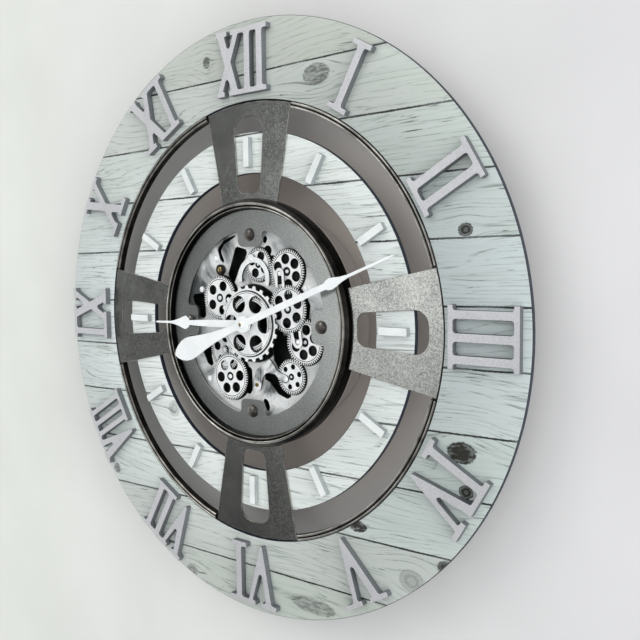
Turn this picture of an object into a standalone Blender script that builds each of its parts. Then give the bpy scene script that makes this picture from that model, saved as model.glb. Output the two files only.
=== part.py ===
"""A round open-frame wall clock with a train of turning gears behind its hands.

Everything is in metres. The clock faces -Y and hangs on a wall at y = 0, with its
axis along Y through x = z = 0. Depths are measured towards the viewer from the
front face of the outer ring board.
"""

import math

import bmesh
import bpy
from mathutils import Vector
from mathutils.geometry import delaunay_2d_cdt

MM = 0.001
GAP = 0.3 * MM  # clearance left between pieces that rest on each other
LAP = 0.2 * MM  # depth by which the layers of one solid run into each other
FINE_STEPS = 96
RIM_STEPS = 80
ROUND_STEPS = 56
CASE_STEPS = 48
HOLE_STEPS = 12
GEAR_HOLE_STEPS = 10

# Bezel, the size that the rings are set out from
BEZEL_RADIUS = 125.5 * MM
BEZEL_BORE = BEZEL_RADIUS - 10.2 * MM
BEZEL_BACK = -8.5 * MM
BEZEL_WALL = 1.2 * MM
OUTER_BEAD_RADIUS = BEZEL_RADIUS - 5 * MM
OUTER_BEAD_TOP = 7 * MM
INNER_BEAD_RADIUS = BEZEL_BORE + 1.5 * MM
INNER_BEAD_TOP = 5.5 * MM
BEAD_WIDTH = 1.4 * MM
GROOVE_DEPTH = 3.2 * MM

# Ring boards, with open gaps between them
FACE_FROM_WALL = 50 * MM
INNER_GAP = 25.5 * MM
INNER_BOARD_WIDTH = 41 * MM
OUTER_GAP = 30 * MM
OUTER_BOARD_WIDTH = 78 * MM
BOARD_THICKNESS = 5 * MM
INNER_BOARD_SETBACK = 2.5 * MM
INNER_BOARD_BORE = BEZEL_RADIUS + INNER_GAP
INNER_BOARD_RADIUS = INNER_BOARD_BORE + INNER_BOARD_WIDTH
OUTER_BOARD_BORE = INNER_BOARD_RADIUS + OUTER_GAP
CLOCK_RADIUS = OUTER_BOARD_BORE + OUTER_BOARD_WIDTH

# Outer rim, a pressed ring that holds the outer board
RIM_WIDTH = 6 * MM
RIM_INNER_RADIUS = OUTER_BOARD_BORE - RIM_WIDTH
RIM_BEAD_WIDTH = RIM_WIDTH / 3
RIM_PROUD = 1 * MM
RIM_FLANGE_RADIUS = OUTER_BOARD_BORE + 10 * MM
RIM_FLANGE_THICKNESS = 1.2 * MM

# Bridge plates
PLATE_THICKNESS = 1.7 * MM
PLATE_OUTER_RADIUS = OUTER_BOARD_BORE - 1 * MM
PLATE_HALF_WIDTH_OUTER = 56 * MM
PLATE_HALF_WIDTH_INNER = 37.5 * MM
SLOT_INNER_RADIUS = BEZEL_RADIUS + 5.9 * MM
SLOT_OUTER_RADIUS = INNER_BOARD_RADIUS + 14.5 * MM
SLOT_HALF_WIDTH_INNER = 14.8 * MM
SLOT_HALF_WIDTH_OUTER = 20.5 * MM
SLOT_CORNER_INNER = 9 * MM
SLOT_CORNER_OUTER = 14 * MM

# Numerals, glued to the outer board with their feet to the centre
NUMERAL_FOOT = OUTER_BOARD_BORE + 6.2 * MM
NUMERAL_HEAD = CLOCK_RADIUS - 8.1 * MM
NUMERAL_THICKNESS = 6.7 * MM
DRAWN_HEIGHT = 63.7
DRAWN_SERIF = 4.9
NUMERAL_SCALE = (NUMERAL_HEAD - NUMERAL_FOOT) / DRAWN_HEIGHT
NUMERAL_FILLET = 2.2 * NUMERAL_SCALE

# Index bars, glued to the inner board
BAR_INNER_RADIUS = INNER_BOARD_BORE + 6 * MM
BAR_OUTER_RADIUS = INNER_BOARD_RADIUS - 5.5 * MM
BAR_WIDTH = 7.3 * MM
BAR_THICKNESS = 5.8 * MM

# Mask ring and rivets
MASK_THICKNESS = 1.2 * MM
MASK_OPENING = BEZEL_BORE - 20.3 * MM
TAB_REACH = MASK_OPENING - 17 * MM
TAB_HALF_WIDTH = 16.5 * MM
TAB_CORNER = 6 * MM
RIVET_CIRCLE = MASK_OPENING - 5 * MM
RIVET_HEAD_RADIUS = 6.5 * MM
RIVET_HEAD_HEIGHT = 3.4 * MM
RIVET_SHANK_RADIUS = 1.4 * MM
RIVET_SHANK_LENGTH = 2.8 * MM
RIVET_POST_RADIUS = 3.5 * MM

# Case behind the gears
CASE_RADIUS = BEZEL_RADIUS - 13.5 * MM
CASE_WALL = 1.5 * MM
CASE_FLANGE_THICKNESS = 1.4 * MM
FLOOR_DEPTH = 16 * MM
FLOOR_THICKNESS = 1.5 * MM
COVER_THICKNESS = 1.5 * MM
KEYHOLE_HEIGHT = CASE_RADIUS - 28 * MM
KEYHOLE_HEAD_RADIUS = 5.5 * MM
KEYHOLE_NECK_RADIUS = 2.8 * MM
KEYHOLE_RISE = 10 * MM

# Gear plate and gears, drawn for an opening of 95 mm and scaled with the mask's
TRAIN_SCALE = MASK_OPENING / 95
GEAR_PLATE_FRONT = -4.6 * MM
GEAR_PLATE_THICKNESS = 1.6 * MM
GEAR_PLATE_LIP_RADIUS = MASK_OPENING + 2.5 * MM
GEAR_PLATE_LIP_WALL = 1.4 * MM
GEAR_THICKNESS = 1.6 * MM
LAYER_GAP = 0.6 * MM
MODULE = 0.8 * TRAIN_SCALE
ADDENDUM = 0.5 * TRAIN_SCALE
DEDENDUM = 1.2 * TRAIN_SCALE
PIVOT_RADIUS = 1.6 * MM
PIVOT_PROUD = 0.9 * MM
CENTRE_TEETH = 70
LEFT_TEETH = 57
RIGHT_TEETH = 58
RIGHT_SECOND_TEETH = 38
IDLER_TEETH = 53
IDLER_PINION_TEETH = 10
LOWER_LEFT_TEETH = 61
UPPER_RIGHT_TEETH = 54
LOWER_RIGHT_TEETH = 55
SMALL_TEETH = 43
TOP_TEETH = 42
LEFT_ANGLE = 150.3
RIGHT_ANGLE = 18.2
IDLER_ANGLE = 216.6
LOWER_LEFT_ANGLE = -73.2
UPPER_RIGHT_ANGLE = 93.4
LOWER_RIGHT_ANGLE = -58.6
SMALL_ANGLE = -116.5
TOP_ANGLE = 169.5
COARSE_TEETH = 23
COARSE_FIRST_TOOTH = 92.4
COARSE_TOOTH_HALF_ANGLE = 3
COARSE_ROOT_HALF_ANGLE = 3.7
COARSE_TIP_RADIUS = 39 * TRAIN_SCALE
COARSE_ROOT_RADIUS = 36 * TRAIN_SCALE
COARSE_SETBACK = 1.9 * MM
COARSE_THICKNESS = 2.2 * MM
DISC_RADIUS = 32.7 * TRAIN_SCALE
DISC_RISE = 1.7 * MM
DISC_HOLE_RADIUS = 8.8 * TRAIN_SCALE
DISC_HOLE_CIRCLE = 22.7 * TRAIN_SCALE
CENTRE_RING_BORE = 23.6 * TRAIN_SCALE

# Brackets over the gears
BRACKET_THICKNESS = 1.6 * MM
ARCH_CENTRE = (4 * TRAIN_SCALE, 46 * TRAIN_SCALE)
ARCH_OUTER_RADIUS = 21.5 * TRAIN_SCALE
ARCH_INNER_RADIUS = 16 * TRAIN_SCALE
ARCH_LOBE = (1 * TRAIN_SCALE, 66 * TRAIN_SCALE)
ARCH_LOBE_RADIUS = 4.6 * TRAIN_SCALE
STUD_RADIUS = 1.8 * MM

# Hands, with the tube and the pin that carry them
BUSH_RADIUS = 4 * MM
BUSH_BORE = 3 * MM
BUSH_TOP = 9.5 * MM
HOUR_HAND_BACK = 10 * MM
HAND_THICKNESS = 1.5 * MM
HAND_HUB_RADIUS = 8.4 * MM
HOUR_SLEEVE_RADIUS = 2.7 * MM
SLEEVE_LENGTH = 3.5 * MM
MINUTE_PIN_RADIUS = 1.6 * MM
NUT_RADIUS = 3.4 * MM
NUT_HEIGHT = 2.2 * MM
HOUR_ANGLE = 269
MINUTE_ANGLE = 69.6

# Works behind the floor
MOVEMENT_SIZE = 56 * MM
MOVEMENT_DEPTH = 16 * MM
MOVEMENT_CORNER = 6 * MM
KNOB_PLACE = (10 * MM, 12 * MM)
KNOB_RADIUS = 8 * MM
KNOB_STEM_RADIUS = 2.5 * MM
KNOB_STEM_LENGTH = 8 * MM
KNOB_FLUTES = 14
BATTERY_RADIUS = 7.1 * MM
BATTERY_LENGTH = 50 * MM
BATTERY_HEIGHT = -16 * MM
BATTERY_NUB_RADIUS = 2.6 * MM
BATTERY_NUB_LENGTH = 1.5 * MM
CLIP_THICKNESS = 1.2 * MM
MOTOR_BATTERY_PLACE = 57 * MM
MOTOR_TOP = 40 * MM
DOOR_MARGIN = 2 * MM


def rgb(text):
    """A linear colour from an sRGB hex value."""
    parts = [int(text[i : i + 2], 16) / 255 for i in (0, 2, 4)]
    return [c / 12.92 if c <= 0.04045 else ((c + 0.055) / 1.055) ** 2.4 for c in parts] + [1]


def material(name, colour, roughness, metallic=0.0):
    made = bpy.data.materials.new(name)
    made.use_nodes = True
    shader = made.node_tree.nodes["Principled BSDF"]
    shader.inputs["Base Color"].default_value = rgb(colour)
    shader.inputs["Roughness"].default_value = roughness
    shader.inputs["Metallic"].default_value = metallic
    made.diffuse_color = rgb(colour)
    return made


def polar(radius, degrees, centre=(0.0, 0.0)):
    """A point on a circle, counted anticlockwise from +X as seen from the front."""
    turn = math.radians(degrees)
    return (centre[0] + radius * math.cos(turn), centre[1] + radius * math.sin(turn))


def circle(radius, steps, centre=(0.0, 0.0), start=0.0):
    return [polar(radius, start + 360 * i / steps, centre) for i in range(steps)]


def arc(radius, first, last, steps, centre=(0.0, 0.0)):
    return [polar(radius, first + (last - first) * i / steps, centre) for i in range(steps + 1)]


def box_outline(low_x, high_x, low_z, high_z):
    return [(low_x, low_z), (high_x, low_z), (high_x, high_z), (low_x, high_z)]


def rounded(points, radii, steps=2):
    """The outline with each corner replaced by an arc of its own radius, where it fits."""
    outline = []
    count = len(points)
    for i, here in enumerate(points):
        radius = radii[i] if isinstance(radii, (list, tuple)) else radii
        corner = Vector(here)
        back = Vector(points[i - 1]) - corner
        ahead = Vector(points[(i + 1) % count]) - corner
        half = back.angle(ahead) / 2
        reach = 0 if half > math.radians(85) else radius / math.tan(half)
        reach = min(reach, 0.46 * back.length, 0.46 * ahead.length)
        if reach < 0.1 * MM:
            outline.append(tuple(corner))
            continue
        first = corner + back.normalized() * reach
        last = corner + ahead.normalized() * reach
        size = reach * math.tan(half)
        centre = corner + (back.normalized() + ahead.normalized()).normalized() * size / math.sin(half)
        start = first - centre
        sweep = start.angle_signed(last - centre)
        for step in range(steps + 1):
            turn = -sweep * step / steps
            x = start.x * math.cos(turn) - start.y * math.sin(turn)
            y = start.x * math.sin(turn) + start.y * math.cos(turn)
            outline.append((centre.x + x, centre.y + y))
    return outline


def union_outline(shapes, merge=1e-7):
    """The closed outlines, outer ones and holes, of overlapping simple polygons."""
    points = [Vector(p) for shape in shapes for p in shape]
    faces = []
    for shape in shapes:
        start = sum(len(f) for f in faces)
        faces.append(list(range(start, start + len(shape))))
    found = delaunay_2d_cdt(points, [], faces, 1, merge)
    places, triangles, owners = found[0], found[2], found[5]
    sides = {}
    for triangle, owner in zip(triangles, owners):
        if not owner:
            continue
        for a, b in zip(triangle, triangle[1:] + triangle[:1]):
            sides[a, b] = True
    following = {a: b for a, b in sides if (b, a) not in sides}
    outlines = []
    while following:
        start, here = following.popitem()
        loop = [start]
        while here != start:
            loop.append(here)
            here = following.pop(here)
        outlines.append(straightened([tuple(places[i]) for i in loop]))
    return outlines


def straightened(loop):
    """The loop without points that lie on a straight line between their neighbours."""
    kept = []
    for i, here in enumerate(loop):
        back = Vector(here) - Vector(loop[i - 1])
        ahead = Vector(loop[(i + 1) % len(loop)]) - Vector(here)
        if back.length > 1e-6 and ahead.length > 1e-6 and back.angle(ahead) > 1e-3:
            kept.append(here)
    return kept


def softened(loop, fillet):
    """Fills the inner corners with a small radius. The loop has material on its left."""
    radii = []
    for i, here in enumerate(loop):
        back = Vector(here) - Vector(loop[i - 1])
        ahead = Vector(loop[(i + 1) % len(loop)]) - Vector(here)
        inner = back.x * ahead.y - back.y * ahead.x < 0
        radii.append(fillet if inner else 0)
    return rounded(loop, radii)


def keep(obj, finish, smooth=0.0):
    """Puts a finished piece in the clock's collection with its material."""
    for owner in list(obj.users_collection):
        owner.objects.unlink(obj)
    CLOCK.objects.link(obj)
    obj.data.materials.clear()
    obj.data.materials.append(finish)
    if smooth:
        obj.data.shade_smooth()
        obj.data.set_sharp_from_angle(angle=math.radians(smooth))
    return obj


def as_mesh(source, name, flat=False):
    """A mesh object in the place of a curve or of an object with live modifiers."""
    bpy.context.view_layer.update()
    graph = bpy.context.evaluated_depsgraph_get()
    mesh = bpy.data.meshes.new_from_object(source.evaluated_get(graph))
    work = bmesh.new()
    work.from_mesh(mesh)
    bmesh.ops.remove_doubles(work, verts=work.verts, dist=1e-6)
    if flat:
        bmesh.ops.dissolve_limit(work, angle_limit=1e-3, verts=work.verts, edges=work.edges)
    work.to_mesh(mesh)
    work.free()
    place = source.matrix_world.copy()
    data = source.data
    bpy.data.objects.remove(source)
    (bpy.data.curves if isinstance(data, bpy.types.Curve) else bpy.data.meshes).remove(data)
    mesh.name = name
    made = bpy.data.objects.new(name, mesh)
    made.matrix_world = place
    bpy.context.scene.collection.objects.link(made)
    return made


def sheet(name, outlines, back, front, centre=(0.0, 0.0), turn=0.0):
    """A flat plate between two depths, cut to outlines drawn as seen from the front."""
    curve = bpy.data.curves.new(name, "CURVE")
    curve.dimensions = "2D"
    curve.fill_mode = "BOTH"
    curve.extrude = (front - back) / 2
    for outline in outlines:
        spline = curve.splines.new("POLY")
        spline.points.add(len(outline) - 1)
        for point, place in zip(spline.points, outline):
            point.co = (place[0], place[1], 0, 1)
        spline.use_cyclic_u = True
    flat = bpy.data.objects.new(name, curve)
    bpy.context.scene.collection.objects.link(flat)
    flat.rotation_euler = (math.pi / 2, math.radians(turn), 0)
    flat.location = (centre[0], -FACE_FROM_WALL - (front + back) / 2, centre[1])
    return as_mesh(flat, name, True)


def turned(name, profile, steps, centre=(0.0, 0.0), closed=False):
    """A turned piece from (radius, depth) points that run down its outer side."""
    mesh = bpy.data.meshes.new(name)
    count = len(profile)
    edges = [(i, i + 1) for i in range(count - 1)]
    if closed:
        edges.append((count - 1, 0))
    mesh.from_pydata([(r, 0, d) for r, d in profile], edges, [])
    obj = bpy.data.objects.new(name, mesh)
    bpy.context.scene.collection.objects.link(obj)
    screw = obj.modifiers.new("Turned", "SCREW")
    screw.steps = steps
    screw.render_steps = steps
    screw.use_merge_vertices = True
    screw.merge_threshold = 0.00001
    obj.rotation_euler = (math.pi / 2, 0, 0)
    obj.location = (centre[0], -FACE_FROM_WALL, centre[1])
    return as_mesh(obj, name)


def rod(name, radius, back, front, centre=(0.0, 0.0), steps=HOLE_STEPS):
    return turned(name, [(0, front), (radius, front), (radius, back), (0, back)], steps, centre)


def grouped(name, pieces):
    """One helper made of several that lie apart."""
    work = bmesh.new()
    for piece in pieces:
        bpy.context.view_layer.update()
        piece.data.transform(piece.matrix_world)
        work.from_mesh(piece.data)
        data = piece.data
        bpy.data.objects.remove(piece)
        bpy.data.meshes.remove(data)
    mesh = bpy.data.meshes.new(name)
    work.to_mesh(mesh)
    work.free()
    made = bpy.data.objects.new(name, mesh)
    bpy.context.scene.collection.objects.link(made)
    return made


def combine(target, tool, operation):
    """Joins or cuts by a tool that stays as a hidden helper."""
    boolean = target.modifiers.new(tool.name, "BOOLEAN")
    boolean.operation = operation
    boolean.object = tool
    boolean.solver = "EXACT"
    for owner in list(tool.users_collection):
        owner.objects.unlink(tool)
    CUTTERS.objects.link(tool)
    tool.hide_render = True
    tool.display_type = "WIRE"


def join(target, *tools):
    for tool in tools:
        combine(target, tool, "UNION")
    return target


def cut(target, *tools):
    for tool in tools:
        combine(target, tool, "DIFFERENCE")
    return target


for old in list(bpy.data.objects):
    bpy.data.objects.remove(old)
CLOCK = bpy.data.collections.new("gear_wall_clock")
CUTTERS = bpy.data.collections.new("cutters")
bpy.context.scene.collection.children.link(CLOCK)
bpy.context.scene.collection.children.link(CUTTERS)

PAINTED_WOOD = material("whitewashed_board", "D2DCD8", 0.65)
NUMERAL_PAINT = material("numeral_paint", "CFCCD0", 0.5)
WHITE_PAINT = material("white_paint", "E6E9EA", 0.45)
PEWTER = material("hammered_pewter", "85878A", 0.38, 0.9)
BRONZE = material("bezel_pewter", "8E8780", 0.3, 0.95)
SILVER = material("gear_silver", "DDE1DF", 0.3, 0.7)
PLATE_SILVER = material("plate_silver", "C9CECC", 0.35, 0.7)
BLACK_METAL = material("black_case", "1B1B1D", 0.5)
BLACK_PLASTIC = material("black_plastic", "202023", 0.45)
BRASS = material("brass", "B79A62", 0.3, 0.9)
BATTERY_WRAP = material("battery_wrap", "4A5A66", 0.4)


# Ring boards

def ring_board(name, bore, radius, front):
    outlines = [circle(radius, FINE_STEPS), circle(bore, FINE_STEPS)]
    return keep(sheet(name, outlines, front - BOARD_THICKNESS, front), PAINTED_WOOD, 30)


ring_board("outer_ring_board", OUTER_BOARD_BORE, CLOCK_RADIUS, 0)
ring_board("inner_ring_board", INNER_BOARD_BORE, INNER_BOARD_RADIUS, -INNER_BOARD_SETBACK)

# Bridge plates, each with a slot round its index bar
plate_back = -INNER_BOARD_SETBACK + GAP
plate_front = plate_back + PLATE_THICKNESS
plate_inner_radius = BEZEL_RADIUS + GAP


def bridge_outlines():
    corner = math.degrees(math.asin(PLATE_HALF_WIDTH_OUTER / PLATE_OUTER_RADIUS))
    inner = math.degrees(math.asin(PLATE_HALF_WIDTH_INNER / plate_inner_radius))
    outer_arc = arc(PLATE_OUTER_RADIUS, 90 - corner, 90 + corner, 10)
    inner_arc = arc(plate_inner_radius, 90 + inner, 90 - inner, 10)
    slot = [
        (SLOT_HALF_WIDTH_INNER, SLOT_INNER_RADIUS),
        (-SLOT_HALF_WIDTH_INNER, SLOT_INNER_RADIUS),
        (-SLOT_HALF_WIDTH_OUTER, SLOT_OUTER_RADIUS),
        (SLOT_HALF_WIDTH_OUTER, SLOT_OUTER_RADIUS),
    ]
    corners = [SLOT_CORNER_INNER] * 2 + [SLOT_CORNER_OUTER] * 2
    return [outer_arc + inner_arc, rounded(slot, corners, 4)]


for hour in (12, 3, 6, 9):
    plate = sheet(f"bridge_plate_{hour}", bridge_outlines(), plate_back, plate_front, turn=30 * hour)
    keep(plate, PEWTER)

# Outer rim: a bead in front, an edge under the bridge plates and a flange behind the board
rim_outer = OUTER_BOARD_BORE - GAP
rim_profile = [
    (rim_outer, RIM_PROUD - 0.4 * RIM_BEAD_WIDTH),
    (rim_outer, -BOARD_THICKNESS - GAP),
    (RIM_FLANGE_RADIUS, -BOARD_THICKNESS - GAP),
    (RIM_FLANGE_RADIUS, -BOARD_THICKNESS - GAP - RIM_FLANGE_THICKNESS),
    (RIM_INNER_RADIUS, -BOARD_THICKNESS - GAP - RIM_FLANGE_THICKNESS),
    (RIM_INNER_RADIUS, RIM_PROUD - 0.4 * RIM_BEAD_WIDTH),
    (RIM_INNER_RADIUS + 0.5 * RIM_BEAD_WIDTH, RIM_PROUD),
    (RIM_INNER_RADIUS + RIM_BEAD_WIDTH, RIM_PROUD - 0.2 * RIM_BEAD_WIDTH),
    (RIM_INNER_RADIUS + 1.4 * RIM_BEAD_WIDTH, RIM_PROUD - 0.5 * RIM_BEAD_WIDTH),
]
rim = turned("outer_rim", rim_profile, RIM_STEPS, closed=True)
notch_reach = math.radians(90) - math.acos((PLATE_HALF_WIDTH_OUTER + 2 * GAP) / RIM_INNER_RADIUS)
notches = []
for hour in (12, 3, 6, 9):
    wide = math.degrees(notch_reach)
    notch = arc(RIM_INNER_RADIUS - RIM_BEAD_WIDTH, 90 - wide, 90 + wide, 6)
    notch += arc(OUTER_BOARD_BORE + RIM_BEAD_WIDTH, 90 + wide, 90 - wide, 6)
    notch_top = RIM_PROUD + PLATE_THICKNESS
    notches.append(sheet(f"notch_{hour}", [notch], plate_back - GAP, notch_top, turn=30 * hour))
cut(rim, grouped("rim_notches", notches))
keep(rim, BRONZE, 30)

# Numerals, drawn from the foot at 0 to the head, with their middle near x = 0.
# Strokes are parallelograms joined by serif bars.


def stroke(centre, width):
    return box_outline(centre - width / 2, centre + width / 2, 0, DRAWN_HEIGHT)


def serif_bars(heads, feet):
    bars = [box_outline(low, high, DRAWN_HEIGHT - DRAWN_SERIF, DRAWN_HEIGHT) for low, high in heads]
    return bars + [box_outline(low, high, 0, DRAWN_SERIF) for low, high in feet]


def vee(apex, outer_left, inner_left, inner_right, outer_right, notch):
    """The letter V: the arms' edges at the head, and where the notch between them ends."""
    return [
        (apex - 1.4, 0),
        (apex + 1.4, 0),
        (outer_right, DRAWN_HEIGHT),
        (inner_right, DRAWN_HEIGHT),
        (apex + 0.8, notch),
        (inner_left, DRAWN_HEIGHT),
        (outer_left, DRAWN_HEIGHT),
    ]


def cross(middle, height, lean_left, lean_right, half_left, half_right):
    """The letter X: two slanted strokes through one point."""
    arms = []
    for lean, half in ((-lean_left, half_left), (lean_right, half_right)):
        top = middle + lean * (DRAWN_HEIGHT - height)
        foot = middle - lean * height
        arms.append([(foot - half, 0), (foot + half, 0), (top + half, DRAWN_HEIGHT), (top - half, DRAWN_HEIGHT)])
    return arms


NUMERALS = {
    1: [stroke(0, 7.6)] + serif_bars([(-11, 11)], [(-11.5, 11.5)]),
    2: [stroke(-9.75, 7.5), stroke(9.75, 7.5)] + serif_bars([(-19, 19)], [(-19, 19)]),
    3: [stroke(-17.6, 7.3), stroke(1.5, 7.3), stroke(20, 7.3)]
    + serif_bars([(-25.8, 28)], [(-25.8, 28)]),
    4: [stroke(-19.8, 7.3), vee(11.1, -4.4, 4.2, 20.8, 26.2, 21)]
    + serif_bars([(-29.5, 5.2), (14.5, 33.5)], [(-29.5, -10.1)]),
    5: [vee(0, -18.2, -9.4, 11.2, 16.8, 20)] + serif_bars([(-26, -4.5), (5.5, 25.5)], []),
    6: [vee(-13.7, -27.8, -20.4, 0.8, 5.4, 22.5), stroke(17.8, 7.3)]
    + serif_bars([(-33.5, -13.7), (-5, 30.8)], [(6.7, 26.5)]),
    7: [vee(-19.6, -35.2, -27.6, -9.7, -5, 26), stroke(5.3, 7.3), stroke(22.4, 7.3)]
    + serif_bars([(-39, -21.5), (-14.5, 31.5)], [(-2.8, 31)]),
    8: [vee(-20.9, -34.6, -25.2, -16, -8.9, 31), stroke(-1.6, 5.8), stroke(11.8, 5.8), stroke(25.7, 5.8)]
    + serif_bars([(-38, -22.6), (-17.2, 33.5)], [(-7.5, 33)]),
    9: [stroke(-19.4, 7.2)]
    + cross(12, 30.8, 0.36, 0.48, 4.7, 3.8)
    + serif_bars([(-28, 10.6), (18.6, 32.5)], [(-26.7, 5.2), (14.2, 33)]),
    10: cross(-0.8, 29.3, 0.44, 0.44, 5, 3.7)
    + serif_bars([(-24.6, -5.3), (5.9, 21.9)], [(-24.1, -6.8), (3.5, 24.6)]),
    11: cross(-14.5, 30.3, 0.42, 0.38, 4.8, 3.7)
    + [stroke(17.6, 7.2)]
    + serif_bars([(-34.8, -21.5), (-9.5, 26.7)], [(-33.1, -16.7), (-6, 26)]),
    12: cross(-19.2, 31.3, 0.331, 0.405, 4.6, 3.3)
    + [stroke(6.75, 7.3), stroke(22.95, 7.5)]
    + serif_bars([(-35, -20), (-15, 32.5)], [(-34, -24.2), (-17.6, 32)]),
}


def set_out(shape):
    """A drawn shape at its size, with its foot at the numerals' inner radius."""
    return [(x * NUMERAL_SCALE, NUMERAL_FOOT + y * NUMERAL_SCALE) for x, y in shape]


for hour, shapes in NUMERALS.items():
    outlines = [softened(set_out(loop), NUMERAL_FILLET) for loop in union_outline(shapes, 1e-4)]
    numeral = sheet(f"numeral_{hour}", outlines, GAP, GAP + NUMERAL_THICKNESS, turn=30 * hour)
    keep(numeral, NUMERAL_PAINT)

# Index bars
bar_back = -INNER_BOARD_SETBACK + GAP
for hour in range(1, 13):
    bar_outline = box_outline(-BAR_WIDTH / 2, BAR_WIDTH / 2, BAR_INNER_RADIUS, BAR_OUTER_RADIUS)
    bar = sheet(f"index_bar_{hour}", [bar_outline], bar_back, bar_back + BAR_THICKNESS, turn=30 * hour)
    keep(bar, WHITE_PAINT)

# Bezel, a spun ring with two beads and a deep outer wall
bead = BEAD_WIDTH
bezel_shelf = 1.5 * MM
bezel_profile = [
    (BEZEL_RADIUS, OUTER_BEAD_TOP - 2.8 * MM),
    (BEZEL_RADIUS, BEZEL_BACK),
    (BEZEL_RADIUS - BEZEL_WALL, BEZEL_BACK),
    (BEZEL_RADIUS - BEZEL_WALL, bezel_shelf),
    (BEZEL_BORE + BEZEL_WALL, bezel_shelf),
    (BEZEL_BORE + BEZEL_WALL, BEZEL_BACK),
    (BEZEL_BORE, BEZEL_BACK),
    (BEZEL_BORE, INNER_BEAD_TOP - 0.7 * bead),
    (INNER_BEAD_RADIUS, INNER_BEAD_TOP),
    ((INNER_BEAD_RADIUS + OUTER_BEAD_RADIUS) / 2, GROOVE_DEPTH),
    (OUTER_BEAD_RADIUS - 0.5 * bead, OUTER_BEAD_TOP),
    (OUTER_BEAD_RADIUS + 0.5 * bead, OUTER_BEAD_TOP),
    (OUTER_BEAD_RADIUS + 1.3 * bead, GROOVE_DEPTH),
    (BEZEL_RADIUS - 1.2 * bead, GROOVE_DEPTH),
    (BEZEL_RADIUS - 0.7 * bead, OUTER_BEAD_TOP - 2.2 * MM),
]
keep(turned("bezel", bezel_profile, ROUND_STEPS, closed=True), BRONZE, 40)

# Mask ring, with four tabs that reach in over the gears
root = math.degrees(math.asin(TAB_HALF_WIDTH / MASK_OPENING))
opening, radii = [], []
for quarter in range(4):
    start = 90 * quarter
    edge = math.cos(math.radians(root)) * MASK_OPENING
    for along, across, radius in (
        (edge, -TAB_HALF_WIDTH, TAB_CORNER),
        (TAB_REACH, -TAB_HALF_WIDTH, TAB_CORNER),
        (TAB_REACH, TAB_HALF_WIDTH, TAB_CORNER),
        (edge, TAB_HALF_WIDTH, TAB_CORNER),
    ):
        reach = math.hypot(along, across)
        opening.append(polar(reach, start + math.degrees(math.atan2(across, along))))
        radii.append(radius)
    sweep = arc(MASK_OPENING, start + root + 5, start + 90 - root - 5, 12)
    opening += sweep
    radii += [0] * len(sweep)
mask_front = 0
mask_back = -MASK_THICKNESS
mask_outlines = [circle(BEZEL_BORE - GAP, ROUND_STEPS), rounded(opening, radii, 3)]
rivet_places = [polar(RIVET_CIRCLE, 90 * quarter) for quarter in range(4)]
mask_outlines += [circle(RIVET_SHANK_RADIUS + GAP, HOLE_STEPS, place) for place in rivet_places]
keep(sheet("mask_ring", mask_outlines, mask_back, mask_front), PEWTER, 30)

# Rivets through the tabs
rivet_seat = mask_front + GAP
dome = [
    (RIVET_HEAD_RADIUS * math.sin(turn), rivet_seat + RIVET_HEAD_HEIGHT * math.cos(turn))
    for turn in (math.radians(a) for a in (0, 30, 60, 90))
]
rivet_profile = dome + [
    (RIVET_SHANK_RADIUS, rivet_seat),
    (RIVET_SHANK_RADIUS, mask_back - RIVET_SHANK_LENGTH),
    (0, mask_back - RIVET_SHANK_LENGTH),
]
for place, hour in zip(rivet_places, (3, 12, 9, 6)):
    keep(turned(f"mask_rivet_{hour}", rivet_profile, 16, place), BRONZE, 40)

# Case, a drum with a floor between the gears and the works
case_front = mask_back - GAP
flange_front = BEZEL_BACK - GAP
case_inner = CASE_RADIUS - CASE_WALL
cover_front = -FACE_FROM_WALL + COVER_THICKNESS
bush_hole = BUSH_RADIUS + GAP
case_profile = [
    (CASE_RADIUS, case_front),
    (CASE_RADIUS, flange_front),
    (BEZEL_RADIUS, flange_front),
    (BEZEL_RADIUS, flange_front - CASE_FLANGE_THICKNESS),
    (CASE_RADIUS, flange_front - CASE_FLANGE_THICKNESS),
    (CASE_RADIUS, cover_front + GAP),
    (case_inner, cover_front + GAP),
    (case_inner, -FLOOR_DEPTH - FLOOR_THICKNESS),
    (bush_hole, -FLOOR_DEPTH - FLOOR_THICKNESS),
    (bush_hole, -FLOOR_DEPTH),
    (case_inner, -FLOOR_DEPTH),
    (case_inner, case_front),
]
case = turned("gear_case", case_profile, CASE_STEPS, closed=True)

# Gear train. Each place and each phase follows from the gear before it.
layer_b_back = GEAR_PLATE_FRONT + LAYER_GAP
layer_b_front = layer_b_back + GEAR_THICKNESS
layer_a_back = layer_b_front + LAYER_GAP
layer_a_front = layer_a_back + GEAR_THICKNESS
pivot_hole = PIVOT_RADIUS + GAP


def pitch_radius(teeth):
    return MODULE * teeth / 2


def meshed(centre, teeth, phase, other_teeth, angle):
    """Where a gear lies that meshes with this one, and the angle of its first tooth."""
    distance = pitch_radius(teeth) + pitch_radius(other_teeth)
    place = polar(distance, angle, centre)
    offset = math.radians(phase - angle) * pitch_radius(teeth)
    pitch = math.pi * MODULE
    other_phase = angle + 180 + math.degrees((pitch / 2 - offset) / pitch_radius(other_teeth))
    return place, other_phase


def teeth_outline(teeth, phase):
    """Fine pointed teeth."""
    radius = pitch_radius(teeth)
    outline = []
    for tooth in range(teeth):
        angle = phase + 360 * tooth / teeth
        outline.append(polar(radius + ADDENDUM, angle))
        outline.append(polar(radius - DEDENDUM, angle + 180 / teeth))
    return outline


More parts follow.
